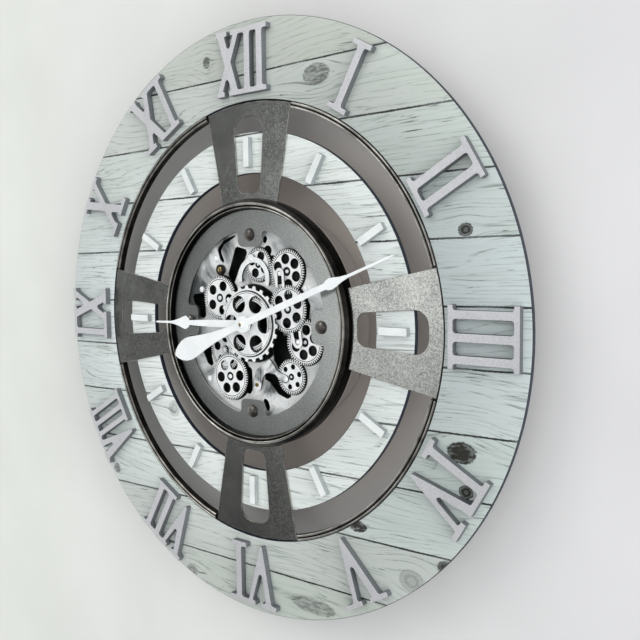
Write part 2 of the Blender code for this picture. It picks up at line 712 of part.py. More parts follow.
def gear(name, train, layer, holes, hole_radius, hole_circle, hole_turn, bore=pivot_hole):
    """One wheel of the train, with its ring of round holes drawn for the train's scale."""
    teeth, place, phase = train
    back = layer_a_back if layer == "front" else layer_b_back
    outlines = [teeth_outline(teeth, phase), circle(bore, HOLE_STEPS)]
    for hole in range(holes):
        middle = polar(hole_circle * TRAIN_SCALE, hole_turn + 360 * hole / holes)
        outlines.append(circle(hole_radius * TRAIN_SCALE, GEAR_HOLE_STEPS, middle))
    return sheet(name, outlines, back, back + GEAR_THICKNESS, centre=place)


def train_step(before, teeth, angle, driver_teeth=None, driver_phase=None):
    drive = driver_teeth or before[0]
    phase = before[2] if driver_phase is None else driver_phase
    place, own_phase = meshed(before[1], drive, phase, teeth, angle)
    return teeth, place, own_phase


centre = (CENTRE_TEETH, (0.0, 0.0), 0.0)
left = train_step(centre, LEFT_TEETH, LEFT_ANGLE)
right = train_step(centre, RIGHT_TEETH, RIGHT_ANGLE)
idler = train_step(centre, IDLER_TEETH, IDLER_ANGLE)
lower_left = train_step(idler, LOWER_LEFT_TEETH, LOWER_LEFT_ANGLE, IDLER_PINION_TEETH, idler[2])
upper_right = train_step(right, UPPER_RIGHT_TEETH, UPPER_RIGHT_ANGLE, RIGHT_SECOND_TEETH, right[2])
lower_right = train_step(right, LOWER_RIGHT_TEETH, LOWER_RIGHT_ANGLE, RIGHT_SECOND_TEETH, right[2])
small = train_step(lower_right, SMALL_TEETH, SMALL_ANGLE)
top = train_step(upper_right, TOP_TEETH, TOP_ANGLE)

keep(gear("left_gear", left, "front", 5, 5.2, 13.2, 69), SILVER)
keep(gear("lower_left_gear", lower_left, "front", 6, 5.4, 13.7, 7), SILVER)
keep(gear("upper_right_gear", upper_right, "rear", 6, 5.2, 12.5, 38), SILVER)
keep(gear("lower_right_gear", lower_right, "rear", 6, 5.2, 12.3, 22), SILVER)
keep(gear("small_gear", small, "rear", 6, 2.7, 10.3, 18), SILVER)
keep(gear("top_gear", top, "rear", 4, 4.8, 9.2, 65), SILVER)

# The idler carries a pinion that drives the lower left gear
idler_gear = gear("idler_gear", idler, "rear", 5, 4.6, 12.5, 20)
pinion = sheet("idler_pinion", [teeth_outline(IDLER_PINION_TEETH, idler[2]), circle(pivot_hole, HOLE_STEPS)],
               layer_b_front - LAP, layer_a_front, centre=idler[1])
keep(join(idler_gear, pinion), SILVER)

# The right gear sits on the motor's arbor and carries a second wheel behind it
right_gear = gear("right_gear", right, "front", 6, 5.3, 13.7, 25, bore=PIVOT_RADIUS - LAP)
second = sheet("right_second_wheel", [teeth_outline(RIGHT_SECOND_TEETH, right[2])],
               layer_b_back, layer_b_front, centre=right[1])
works_front = -FLOOR_DEPTH - FLOOR_THICKNESS - GAP
arbor_profile = [
    (0, layer_a_front + PIVOT_PROUD),
    (PIVOT_RADIUS, layer_a_front + PIVOT_PROUD),
    (PIVOT_RADIUS, works_front - MOVEMENT_DEPTH / 2),
    (0, works_front - MOVEMENT_DEPTH / 2),
]
arbor = turned("right_arbor", arbor_profile, HOLE_STEPS, right[1])
collar = rod("right_collar", 3 * PIVOT_RADIUS, layer_b_front - LAP, layer_a_back + LAP, right[1])
keep(join(right_gear, arbor, second, collar), SILVER)

# Centre gear: fine ring for the train, coarse gear before it and a raised disc in front
coarse_back = COARSE_SETBACK
coarse_front = coarse_back + COARSE_THICKNESS
disc_front = coarse_front + DISC_RISE


def disc_holes(radius, steps=14):
    return [circle(radius, steps, polar(DISC_HOLE_CIRCLE, 60 * i), 7 + 11 * i) for i in range(6)]


coarse_outline = []
for tooth in range(COARSE_TEETH):
    angle = COARSE_FIRST_TOOTH + 360 * tooth / COARSE_TEETH
    coarse_outline.append(polar(COARSE_ROOT_RADIUS, angle - COARSE_ROOT_HALF_ANGLE))
    coarse_outline.append(polar(COARSE_TIP_RADIUS, angle - COARSE_TOOTH_HALF_ANGLE))
    coarse_outline.append(polar(COARSE_TIP_RADIUS, angle + COARSE_TOOTH_HALF_ANGLE))
    coarse_outline.append(polar(COARSE_ROOT_RADIUS, angle + COARSE_ROOT_HALF_ANGLE))
coarse = sheet("centre_gear", [coarse_outline, circle(bush_hole, 16)] + disc_holes(DISC_HOLE_RADIUS),
               coarse_back, coarse_front)
disc = sheet("centre_disc", [circle(DISC_RADIUS, ROUND_STEPS), circle(bush_hole + GAP, 16)]
             + disc_holes(DISC_HOLE_RADIUS + GAP), coarse_front - LAP, disc_front)
fine_ring = sheet("centre_ring", [teeth_outline(CENTRE_TEETH, centre[2]), circle(CENTRE_RING_BORE, 40)],
                  layer_b_back, coarse_back + LAP)
keep(join(coarse, disc, fine_ring), SILVER)

def scaled(outline):
    """An outline drawn for an opening of 95 mm, at the size of this mask's."""
    return [(x * TRAIN_SCALE, z * TRAIN_SCALE) for x, z in outline]


# Gear plate: a pressed sheet with dark windows, a lip under the mask and a post for each gear
WINDOWS = [
    [(-24, 79), (-7, 74.5), (-13, 61), (-20, 55), (-24.5, 45), (-28.5, 38), (-36, 49.5), (-31.5, 60)],
    [(-51, 76.5), (-47, 65), (-42, 61), (-41, 64), (-46, 74), (-41, 81), (-24, 88.5), (-25, 90.5), (-41, 85)],
    [(-91, 28), (-71.5, 30), (-70, 3), (-80.5, 3), (-80.5, 14), (-88, 18)],
    [(-76, -33), (-57, -14), (-56, -25), (-63, -37), (-59, -51), (-69, -46)],
    [(-13, -45), (-4.3, -46), (-3.6, -69), (-9, -76), (-14, -70)],
    [(10, -55), (17, -49.8), (27, -50.5), (33, -56), (38, -64), (52, -69), (43, -74), (31, -70), (20, -59)],
    [(24, -23), (30, -11), (46, -10.5), (47, -20), (49, -32), (42, -42), (33, -46), (26, -36)],
    [(70, 27), (74, 20), (72, 12), (71, -3), (76, -12), (69, -10), (66, 8)],
    [(9, -75.5), (17, -77.5), (20, -85), (17, -91), (14, -86)],
    [(14, 88), (20, 89), (19, 82), (14, 80)],
]
ROUND_WINDOWS = [(5.3, 20, 73.5), (4.5, 26.5, 64.5)]
plate_outlines = [circle(case_inner - GAP, CASE_STEPS), circle(bush_hole, 16)]
plate_outlines.append(circle(pivot_hole, HOLE_STEPS, right[1]))
for window in WINDOWS:
    plate_outlines.append(rounded(scaled(window), 2.5 * TRAIN_SCALE, 1))
for radius, x, z in ROUND_WINDOWS:
    plate_outlines.append(circle(radius * TRAIN_SCALE, 14, (x * TRAIN_SCALE, z * TRAIN_SCALE)))
gear_plate = sheet("gear_plate", plate_outlines, GEAR_PLATE_FRONT - GEAR_PLATE_THICKNESS, GEAR_PLATE_FRONT)
lip_outer = GEAR_PLATE_LIP_RADIUS + GEAR_PLATE_LIP_WALL
lip = [circle(lip_outer, CASE_STEPS), circle(GEAR_PLATE_LIP_RADIUS, CASE_STEPS)]
fittings = [sheet("gear_plate_lip", lip, GEAR_PLATE_FRONT - LAP, case_front)]
post_foot = GEAR_PLATE_FRONT - GEAR_PLATE_THICKNESS / 2
front_post = layer_a_front + PIVOT_PROUD
rear_post = layer_b_front + PIVOT_PROUD / 2
posts = [
    ("left_post", left, front_post),
    ("lower_left_post", lower_left, front_post),
    ("idler_post", idler, layer_a_front),
    ("upper_right_post", upper_right, rear_post),
    ("lower_right_post", lower_right, rear_post),
    ("small_post", small, rear_post),
    ("top_post", top, rear_post),
]
for name, train, height in posts:
    fittings.append(rod(name, PIVOT_RADIUS, post_foot, height, train[1]))
rivet_bore = RIVET_SHANK_RADIUS + GAP
rivet_end = mask_back - RIVET_SHANK_LENGTH - GAP
for number, place in enumerate(rivet_places):
    socket = [
        (RIVET_POST_RADIUS, case_front),
        (RIVET_POST_RADIUS, post_foot),
        (0, post_foot),
        (0, rivet_end),
        (rivet_bore, rivet_end),
        (rivet_bore, case_front),
    ]
    fittings.append(turned(f"rivet_post_{number}", socket, HOLE_STEPS, place, closed=True))
join(gear_plate, grouped("plate_fittings", fittings))
keep(gear_plate, PLATE_SILVER, 30)

# The case floor is pierced for the motor's arbor
drill_back = -FLOOR_DEPTH - 2 * FLOOR_THICKNESS
cut(case, rod("arbor_hole", pivot_hole, drill_back, -FLOOR_DEPTH + FLOOR_THICKNESS, right[1]))
keep(case, BLACK_METAL, 30)

# Brackets in front of the gear plate, on studs
stud_foot = GEAR_PLATE_FRONT + GAP
bracket_back = layer_a_front - BRACKET_THICKNESS


def studded(name, outlines, studs, finish):
    bracket = sheet(name, outlines, bracket_back, layer_a_front)
    stud_top = layer_a_front - BRACKET_THICKNESS / 2
    feet = [rod(f"stud_{n}", STUD_RADIUS, stud_foot, stud_top, place) for n, place in enumerate(studs)]
    return keep(join(bracket, grouped(f"{name}_studs", feet)), finish)


arch_band = arc(ARCH_OUTER_RADIUS, -22, 192, 16, ARCH_CENTRE)
arch_band += arc(ARCH_INNER_RADIUS, 192, -22, 14, ARCH_CENTRE)
arch_outlines = union_outline([arch_band, circle(ARCH_LOBE_RADIUS, 14, ARCH_LOBE)])
arch_mid = (ARCH_OUTER_RADIUS + ARCH_INNER_RADIUS) / 2
studded("arch_bracket", arch_outlines, [polar(arch_mid, a, ARCH_CENTRE) for a in (-16, 186)], SILVER)

LEVER = [
    (2.5, -67), (2.5, -58), (4.5, -48), (11, -43), (17, -39.5), (24, -34.5), (27, -38), (33, -45),
    (41, -48.5), (47, -50), (48.5, -54), (44.5, -57.8), (39, -56.5), (33, -50.5), (26, -47.8), (18.5, -49.5),
    (14, -55), (11.5, -66), (7, -69.5),
]
lever_outline = rounded(scaled(LEVER), 3 * TRAIN_SCALE)
studded("s_lever", [lever_outline], scaled([(6.7, -62.2), (13, -45.5)]), PLATE_SILVER)


# Hands. Their outlines are drawn along +Z from half widths at distances from the axis.
def hand_outline(front_half, tail_half):
    right_side = [(half * MM, reach * MM) for reach, half in front_half]
    left_side = [(-x, z) for x, z in reversed(right_side)]
    shapes = [right_side + left_side, circle(HAND_HUB_RADIUS, 24)]
    if tail_half:
        tail = [(half * MM, -reach * MM) for reach, half in tail_half]
        shapes.append([(-x, z) for x, z in tail] + tail[::-1])
    return union_outline(shapes)


HOUR_SHAPE = [(0, 4.1), (30, 3.9), (60, 3.3), (80.5, 2.5), (82, 5), (86, 7.1), (90, 6), (96, 3.9),
              (102, 2.4), (108, 1.3), (131.5, 1.05), (133, 0.5)]
MINUTE_SHAPE = [(0, 3.6), (60, 3.3), (113, 2.9), (115.5, 4.6), (120, 5.4), (125, 4.4), (132, 2.5),
                (140, 1.4), (160, 1.1), (190.5, 0.8), (192.5, 0.3)]
TAIL_SHAPE = [(0, 3.4), (20, 3.7), (45, 5.8), (62, 8.6), (76, 11.4), (84, 12.2), (91, 11.2), (98, 8.2),
              (103, 4.6), (106, 1)]
hub_back = HOUR_HAND_BACK + HAND_THICKNESS
minute_back = hub_back + HAND_THICKNESS
hour_hand = sheet("hour_hand", hand_outline(HOUR_SHAPE, None), HOUR_HAND_BACK, hub_back, turn=HOUR_ANGLE)
sleeve_top = HOUR_HAND_BACK + HAND_THICKNESS / 2
sleeve_end = BUSH_TOP - SLEEVE_LENGTH
join(hour_hand, rod("hour_sleeve", HOUR_SLEEVE_RADIUS, sleeve_end, sleeve_top, steps=16))
pin_hole = MINUTE_PIN_RADIUS + GAP
cut(hour_hand, rod("hour_bore", pin_hole, BUSH_TOP - 2 * SLEEVE_LENGTH, minute_back, steps=16))
keep(hour_hand, WHITE_PAINT)
minute_front = minute_back + HAND_THICKNESS
minute_hand = sheet("minute_hand", hand_outline(MINUTE_SHAPE, TAIL_SHAPE), minute_back, minute_front,
                    turn=MINUTE_ANGLE)
pin_top = minute_back + HAND_THICKNESS / 2
pin = rod("minute_pin", MINUTE_PIN_RADIUS, sleeve_end, pin_top)
washer = rod("minute_washer", HAND_HUB_RADIUS * 0.7, hub_back + GAP, pin_top, steps=24)
keep(join(minute_hand, pin, washer), WHITE_PAINT)
nut_back = minute_front + GAP
nut_profile = [(0, nut_back + NUT_HEIGHT), (0.7 * NUT_RADIUS, nut_back + 0.85 * NUT_HEIGHT),
               (NUT_RADIUS, nut_back + 0.4 * NUT_HEIGHT), (NUT_RADIUS, nut_back), (0, nut_back)]
keep(turned("hand_nut", nut_profile, 20), BRASS, 50)

# Quartz movement with its bush, the battery on its back and the setting knob
works_back = works_front - MOVEMENT_DEPTH
half = MOVEMENT_SIZE / 2
movement = sheet("quartz_movement", [rounded(box_outline(-half, half, -half, half), MOVEMENT_CORNER)],
                 works_back, works_front)
join(movement, rod("movement_bush", BUSH_RADIUS, works_front - MOVEMENT_DEPTH / 2, BUSH_TOP, steps=16))
cut(movement, rod("movement_bore", BUSH_BORE, works_front, BUSH_TOP + SLEEVE_LENGTH, steps=16))
battery_axis = works_back - GAP - BATTERY_RADIUS


def clips(target, middle, outer_name):
    """Spring clips that stand behind the works at both ends of a battery."""
    reach = BATTERY_LENGTH / 2 + BATTERY_NUB_LENGTH + GAP
    low, high = BATTERY_HEIGHT - BATTERY_RADIUS, BATTERY_HEIGHT + BATTERY_RADIUS
    for side in (-1, 1):
        ends = sorted((middle + side * reach, middle + side * (reach + CLIP_THICKNESS)))
        clip = sheet(f"{outer_name}_{side + 1}", [box_outline(*ends, low, high)],
                     battery_axis - BATTERY_RADIUS / 2, works_back + CLIP_THICKNESS)
        join(target, clip)


def battery(name, middle):
    body = BATTERY_LENGTH / 2
    profile = [(0, body + BATTERY_NUB_LENGTH), (BATTERY_NUB_RADIUS, body + BATTERY_NUB_LENGTH),
               (BATTERY_NUB_RADIUS, body), (BATTERY_RADIUS, body), (BATTERY_RADIUS, -body), (0, -body)]
    cell = turned(name, profile, 16)
    cell.rotation_euler = (0, math.pi / 2, 0)
    cell.location = (middle, -FACE_FROM_WALL - battery_axis, BATTERY_HEIGHT)
    return keep(cell, BATTERY_WRAP, 40)


clips(movement, 0, "clock_clip")
keep(movement, BLACK_PLASTIC)
battery("clock_battery", 0)
knob_back = -FACE_FROM_WALL + GAP
stem_top = works_back - GAP
stem_end = stem_top - KNOB_STEM_LENGTH
flutes = []
for flute in range(2 * KNOB_FLUTES):
    flutes.append(polar(KNOB_RADIUS * (1 if flute % 2 else 0.92), 180 * flute / KNOB_FLUTES))
knob = sheet("setting_knob", [flutes], knob_back, stem_end, centre=KNOB_PLACE)
stem = rod("knob_stem", KNOB_STEM_RADIUS, stem_end - LAP, stem_top, KNOB_PLACE)
keep(join(knob, stem), BLACK_PLASTIC)

# Gear motor, on the right gear's arbor, with its own battery
motor_left = half + 2 * MM
motor_right = MOTOR_BATTERY_PLACE + BATTERY_LENGTH / 2 + 4 * MM
motor_bottom = BATTERY_HEIGHT - BATTERY_RADIUS - 3 * MM
motor_outline = rounded(box_outline(motor_left, motor_right, motor_bottom, MOTOR_TOP), MOVEMENT_CORNER)
motor = sheet("gear_motor", [motor_outline], works_back, works_front)
cut(motor, rod("motor_bore", pivot_hole, works_front - MOVEMENT_DEPTH / 2 - GAP, works_front + GAP, right[1]))
clips(motor, MOTOR_BATTERY_PLACE, "motor_clip")
keep(motor, BLACK_PLASTIC)
battery("gear_battery", MOTOR_BATTERY_PLACE)

# Back cover, with the keyhole that hangs on the wall's screw, and the battery door
door_left = -BATTERY_LENGTH / 2 - BATTERY_NUB_LENGTH - DOOR_MARGIN
door_right = MOTOR_BATTERY_PLACE + BATTERY_LENGTH / 2 + BATTERY_NUB_LENGTH + DOOR_MARGIN
door_bottom = BATTERY_HEIGHT - BATTERY_RADIUS - DOOR_MARGIN
door_top = BATTERY_HEIGHT + BATTERY_RADIUS + DOOR_MARGIN
window = box_outline(door_left - GAP, door_right + GAP, door_bottom - GAP, door_top + GAP)
keyhole = union_outline([
    circle(KEYHOLE_HEAD_RADIUS, 18, (0, KEYHOLE_HEIGHT - KEYHOLE_RISE)),
    box_outline(-KEYHOLE_NECK_RADIUS, KEYHOLE_NECK_RADIUS, KEYHOLE_HEIGHT - KEYHOLE_RISE, KEYHOLE_HEIGHT),
    circle(KEYHOLE_NECK_RADIUS, 14, (0, KEYHOLE_HEIGHT)),
])
knob_hole = circle(KNOB_RADIUS + 3 * GAP, 20, KNOB_PLACE)
cover_outlines = [circle(CASE_RADIUS, ROUND_STEPS), window, knob_hole] + keyhole
keep(sheet("back_cover", cover_outlines, -FACE_FROM_WALL, cover_front), BLACK_METAL, 30)
door = sheet("battery_door", [box_outline(door_left, door_right, door_bottom, door_top)],
             -FACE_FROM_WALL, cover_front)
keep(door, BLACK_PLASTIC)
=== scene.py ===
"""Looks of a round open-frame wall clock with turning gears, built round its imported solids.

The clock hangs on a wall at y = 0 and faces -Y, with its axis along Y through x = z = 0.
"""

import math

import bmesh
import bpy
from mathutils import Matrix, Vector


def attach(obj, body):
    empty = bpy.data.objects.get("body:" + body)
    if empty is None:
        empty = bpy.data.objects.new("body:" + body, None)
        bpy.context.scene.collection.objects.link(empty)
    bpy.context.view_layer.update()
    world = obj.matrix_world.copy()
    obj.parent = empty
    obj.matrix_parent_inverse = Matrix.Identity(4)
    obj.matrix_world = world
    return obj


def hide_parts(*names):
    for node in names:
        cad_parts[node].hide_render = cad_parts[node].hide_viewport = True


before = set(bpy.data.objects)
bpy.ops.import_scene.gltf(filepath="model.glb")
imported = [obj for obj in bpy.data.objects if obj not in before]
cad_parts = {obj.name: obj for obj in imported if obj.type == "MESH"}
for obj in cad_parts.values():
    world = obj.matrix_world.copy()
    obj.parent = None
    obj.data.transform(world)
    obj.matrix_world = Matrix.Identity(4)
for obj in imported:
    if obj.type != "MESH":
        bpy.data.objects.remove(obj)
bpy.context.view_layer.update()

# --- Outer ring board ---
# A ring sawn from 5 mm MDF and faced with a paper print of whitewashed pine planks. The sawn
# edge is painted blue-black and the back is washed dark. It carries the glued numerals.
MM = 0.001
FACE_FROM_WALL = 50.0  # depths below are millimetres in front of this board's face
OUTER_BOARD = {"bore": 222.0, "radius": 300.0, "thickness": 5.0, "setback": 0.0, "round": 0.5}
BOARD_STEPS = 288
PLANK_JOINTS = (-253, -196, -141, -85.5, -30, 22, 78.6, 134, 190.5, 249)
JOINT_HALF_WIDTH = 0.85
PRINT_TURN = 0.6  # degrees that the print is turned against the numerals


def linear(hex_colour):
    """A colour written as sRGB hex, as the linear values that a shader takes"""
    parts = [int(hex_colour[i:i + 2], 16) / 255 for i in (1, 3, 5)]
    return tuple(c / 12.92 if c <= 0.04045 else ((c + 0.055) / 1.055) ** 2.4 for c in parts) + (1.0,)


def connect(node, inputs):
    """Sets a node's inputs to values, to sockets, or to nodes whose first output is meant"""
    for name, value in inputs.items():
        if isinstance(value, bpy.types.Node):
            value = value.outputs[0]
        if isinstance(value, bpy.types.NodeSocket):
            node.id_data.links.new(value, node.inputs[name])
        else:
            node.inputs[name].default_value = value


def add(tree, kind, inputs=None, **settings):
    """Adds a node with its settings and links"""
    node = tree.nodes.new(kind)
    for name, value in settings.items():
        setattr(node, name, value)
    connect(node, inputs or {})
    return node


def new_finish(name, **values):
    """A material with one shader, and the place on the piece that its pattern is drawn from"""
    made = bpy.data.materials.new(name)
    made.use_nodes = True
    tree = made.node_tree
    tree.nodes.clear()
    shader = add(tree, "ShaderNodeBsdfPrincipled", {k.replace("_", " "): v for k, v in values.items()})
    add(tree, "ShaderNodeOutputMaterial", {"Surface": shader})
    return made, tree, shader, add(tree, "ShaderNodeTexCoord").outputs["Object"]


def set_stops(node, stops, interpolation="LINEAR"):
    """Fills a colour ramp with (position, hex colour) stops"""
    ramp = node.color_ramp
    ramp.interpolation = interpolation
    while len(ramp.elements) > 1:
        ramp.elements.remove(ramp.elements[-1])
    for number, (position, colour) in enumerate(stops):
        stop = ramp.elements[0] if number == 0 else ramp.elements.new(position)
        stop.position = position
        stop.color = linear(colour)
    return node


# Knots of the print: x, z, half width and half height in mm, darkness (over 1 leaves a black core),
# and how plain the rings are
KNOTS = (
    (242.1, 84.5, 7.0, 5.6, 1.3, 0.8), (236.8, -101.9, 14.0, 9.5, 1.4, 0.35),
    (240.9, -134.8, 7.0, 6.0, 1.3, 0.8), (221.6, -205.3, 9.0, 7.5, 1.0, 0.4),
    (186.3, -224.5, 13.0, 10.5, 0.45, 0.9), (-53.6, 268.7, 5.0, 6.0, 0.85, 0.2),
    (90.2, 234.5, 16.0, 10.0, 0.75, 0.0), (-227.6, -182.1, 6.0, 6.0, 0.85, 0.3),
    (-100.2, -280.1, 9.0, 7.0, 0.7, 0.9), (129.0, -185.8, 10.0, 5.5, 1.2, 0.0),
    (-124.2, -99.6, 9.0, 9.0, 0.4, 1.0), (73.3, -277.0, 28.0, 8.0, 0.6, 0.0),
)


def plank_print(name, paleness):
    """Satin-lacquered paper print: pale sage planks, fine grain that bends round the knots, dark joints"""
    made, tree, shader, place = new_finish(name, Roughness=0.45)
    turned = add(tree, "ShaderNodeVectorRotate", {"Vector": place, "Angle": math.radians(PRINT_TURN)},
                 rotation_type="Y_AXIS")
    in_mm = add(tree, "ShaderNodeVectorMath", {0: turned, "Scale": 1 / MM}, operation="SCALE")
    split = add(tree, "ShaderNodeSeparateXYZ", {0: in_mm})
    along, across = split.outputs["X"], split.outputs["Z"]

    # Grain height bends away from each knot, and each knot darkens its own spot
    bent, spots = across, 0.0
    mottle = add(tree, "ShaderNodeTexNoise", {"Vector": in_mm, "Scale": 0.5, "Detail": 3.0})
    fibre = add(tree, "ShaderNodeVectorMath", {0: in_mm, 1: (0.10, 0, 0.42)}, operation="MULTIPLY")
    fibre = add(tree, "ShaderNodeTexNoise", {"Vector": fibre, "Scale": 1.0, "Detail": 3.0, "Distortion": 0.8})
    streaky = add(tree, "ShaderNodeMapRange", {"Value": fibre, "From Min": 0.42, "From Max": 0.56,
                                               "To Min": 0.45})
    for x, z, half_width, half_height, darkness, rings in KNOTS:
        offset = add(tree, "ShaderNodeVectorMath", {0: in_mm, 1: (x, 0, z)}, operation="SUBTRACT")
        reach = add(tree, "ShaderNodeVectorMath", {0: offset, 1: (1 / half_width, 0, 1 / half_height)},
                    operation="MULTIPLY")
        away = add(tree, "ShaderNodeVectorMath", {0: reach}, operation="LENGTH").outputs["Value"]
        squared = add(tree, "ShaderNodeMath", {0: away, 1: away}, operation="MULTIPLY")
        spread = add(tree, "ShaderNodeMath", {0: squared, 1: 0.35, 2: 1.0}, operation="MULTIPLY_ADD")
        height = add(tree, "ShaderNodeSeparateXYZ", {0: offset}).outputs["Z"]
        pull = add(tree, "ShaderNodeMath", {0: height, 1: spread}, operation="DIVIDE")
        bent = add(tree, "ShaderNodeMath", {0: bent, 1: pull}, operation="SUBTRACT").outputs[0]
        ragged = add(tree, "ShaderNodeMath", {0: mottle, 1: 0.5, 2: away}, operation="MULTIPLY_ADD")
        spot = add(tree, "ShaderNodeMapRange", {"Value": ragged, "From Min": 1.3, "From Max": 1.14},
                   interpolation_type="SMOOTHSTEP")
        turns = add(tree, "ShaderNodeMath", {0: ragged, 1: 11.0}, operation="MULTIPLY")
        wave = add(tree, "ShaderNodeMath", {0: turns}, operation="SINE")
        swing = 0.26 * rings  # how much the rings darken and lighten the knot
        ring = add(tree, "ShaderNodeMath", {0: wave, 1: swing, 2: 1 - swing}, operation="MULTIPLY_ADD")
        barred = add(tree, "ShaderNodeMix", {"Factor": rings, "A": streaky, "B": 1.0})
        toned = spot
        for factor in (ring, barred, darkness):
            toned = add(tree, "ShaderNodeMath", {0: toned, 1: factor}, operation="MULTIPLY")
        spots = add(tree, "ShaderNodeMath", {0: spots, 1: toned}, operation="MAXIMUM")

    # One tone for each plank, with its own shift of the grain in the ramp's alpha
    wander = add(tree, "ShaderNodeTexNoise", {"Vector": in_mm, "Scale": 0.03, "Detail": 2.0})
    wavy = add(tree, "ShaderNodeMath", {0: wander, 1: 1.2, 2: across}, operation="MULTIPLY_ADD")
    frayed = add(tree, "ShaderNodeMath", {0: mottle, 1: 1.1, 2: wavy}, operation="MULTIPLY_ADD")
    planks_below, joints = 0.0, 0.0
    for joint in PLANK_JOINTS:
        above = add(tree, "ShaderNodeMath", {0: wavy, 1: joint}, operation="GREATER_THAN")
        near = add(tree, "ShaderNodeMath", {0: frayed, 1: joint + 0.5, 2: JOINT_HALF_WIDTH},
                   operation="COMPARE")
        planks_below = add(tree, "ShaderNodeMath", {0: planks_below, 1: above}, operation="ADD")
        joints = add(tree, "ShaderNodeMath", {0: joints, 1: near}, operation="MAXIMUM")
    tones = ("#B2B9B2", "#B6BCB8", "#BCC5C2", "#BAC4C1", "#BFC8C8", "#BDC6C7", "#BEC7C8", "#BBC4C3",
             "#BBC3BF", "#B8BEB9", "#B0B5AD")
    planks = len(tones)
    share = add(tree, "ShaderNodeMath", {0: planks_below, 1: 1 / planks, 2: 0.5 / planks},
                operation="MULTIPLY_ADD")
    stops = [(number / planks, tone) for number, tone in enumerate(tones)]
    plank = set_stops(add(tree, "ShaderNodeValToRGB", {0: share}), stops, "CONSTANT")
    for number, stop in enumerate(plank.color_ramp.elements):
        stop.alpha = (number * 0.37) % 1.0
    # The print grows paler towards the left, up to 0.3 of the way to near-white
    paler_to_left = add(tree, "ShaderNodeMapRange", {"Value": along, "From Min": -300.0, "From Max": 260.0,
                                              "To Min": min(paleness + 0.3, 1.0), "To Max": paleness})
    base = add(tree, "ShaderNodeMix", {"Factor": paler_to_left, "A": plank, "B": linear("#EEF2F0")},
               data_type="RGBA")
    shift = plank.outputs["Alpha"]

    # Long streaks of wash about 3 mm wide, then fine grain lines under 1 mm, then broken cracks
    slow = add(tree, "ShaderNodeMath", {0: shift, 1: 900.0, 2: along}, operation="MULTIPLY_ADD")
    grain_place = add(tree, "ShaderNodeCombineXYZ", {"X": slow, "Z": bent})
    layers = []
    for scales, detail, low, high, seed in (
        ((0.010, 0, 0.30), 4.0, 0.42, 0.72, 0.0), ((0.009, 0, 0.55), 5.0, 0.55, 0.63, 7.0),
        ((0.030, 0, 0.60), 4.0, 0.61, 0.65, 19.0), ((0.012, 0, 0.035), 3.0, 0.40, 0.60, 31.0),
    ):
        stretched = add(tree, "ShaderNodeVectorMath", {0: grain_place, 1: scales, 2: (seed, 0, seed)},
                        operation="MULTIPLY_ADD")
        noise = add(tree, "ShaderNodeTexNoise", {"Vector": stretched, "Scale": 1.0, "Detail": detail,
                                                 "Roughness": 0.6})
        layers.append(add(tree, "ShaderNodeMapRange", {"Value": noise, "From Min": low, "From Max": high},
                          interpolation_type="SMOOTHSTEP"))
    streaks, lines, cracks, patches = layers
    fine = add(tree, "ShaderNodeMath", {0: lines, 1: patches}, operation="MULTIPLY")
    torn = add(tree, "ShaderNodeMath", {0: cracks, 1: patches}, operation="MULTIPLY")

    # Growth figure: thin contours about 6 mm apart, in arches and long loops that bend round the knots
    arched = add(tree, "ShaderNodeVectorMath", {0: grain_place, 1: (0.0042, 0, 0.019), 2: (53.0, 0, 53.0)},
                 operation="MULTIPLY_ADD")
    arches = add(tree, "ShaderNodeTexNoise", {"Vector": arched, "Scale": 1.0, "Detail": 1.2,
                                              "Roughness": 0.4})
    raised = add(tree, "ShaderNodeMath", {0: arches, 1: 12.0}, operation="MULTIPLY")
    bands = add(tree, "ShaderNodeMath", {0: bent, 1: 1 / 6.0, 2: raised}, operation="MULTIPLY_ADD")
    rest = add(tree, "ShaderNodeMath", {0: bands}, operation="FRACT")
    contour = add(tree, "ShaderNodeMapRange", {"Value": rest, "From Min": 0.17, "From Max": 0.05})
    worn = add(tree, "ShaderNodeVectorMath", {0: grain_place, 1: (0.028, 0, 0.3), 2: (71.0, 0, 71.0)},
               operation="MULTIPLY_ADD")
    worn = add(tree, "ShaderNodeTexNoise", {"Vector": worn, "Scale": 1.0, "Detail": 4.0, "Roughness": 0.65})
    broken = add(tree, "ShaderNodeMapRange", {"Value": worn, "From Min": 0.42, "From Max": 0.62})
    figure = add(tree, "ShaderNodeMath", {0: contour, 1: broken}, operation="MULTIPLY")

    # The marks one over another, each with its strength. The joints come last: near-black lines
    # 1.7 mm wide, a little ragged and fainter in places
    open_joint = add(tree, "ShaderNodeMapRange", {"Value": wander, "From Min": 0.35, "From Max": 0.55,
                                                  "To Min": 0.75, "To Max": 0.97})
    hue = base.outputs["Result"]
    for mark, strength, colour in (
        (streaks, 0.3, "#A3ADA6"), (fine, 0.7, "#7C857F"), (torn, 0.95, "#474B47"),
        (figure, 0.8, "#6F7771"), (spots, 1.0, "#262520"), (joints, open_joint, "#161B1C"),
    ):
        amount = add(tree, "ShaderNodeMath", {0: mark, 1: strength}, operation="MULTIPLY")
        hue = add(tree, "ShaderNodeMix", {"Factor": amount, "A": hue, "B": linear(colour)},
                  data_type="RGBA").outputs["Result"]
    rough = add(tree, "ShaderNodeMapRange", {"Value": streaks, "To Min": 0.42, "To Max": 0.54})
    connect(shader, {"Base Color": hue, "Roughness": rough})
    return made


def mottled(name, scale, detail, stops, rough=None, **values):
    """A finish that wanders through its colours in soft patches 1000 / scale mm wide, and in
    roughness between two values where they are given"""
    made, tree, shader, place = new_finish(name, **values)
    patches = add(tree, "ShaderNodeTexNoise", {"Vector": place, "Scale": scale, "Detail": detail})
    connect(shader, {"Base Color": set_stops(add(tree, "ShaderNodeValToRGB", {0: patches}), stops)})
    if rough:
        gloss = add(tree, "ShaderNodeMapRange", {"Value": patches, "To Min": rough[0], "To Max": rough[1]})
        connect(shader, {"Roughness": gloss})
    return made


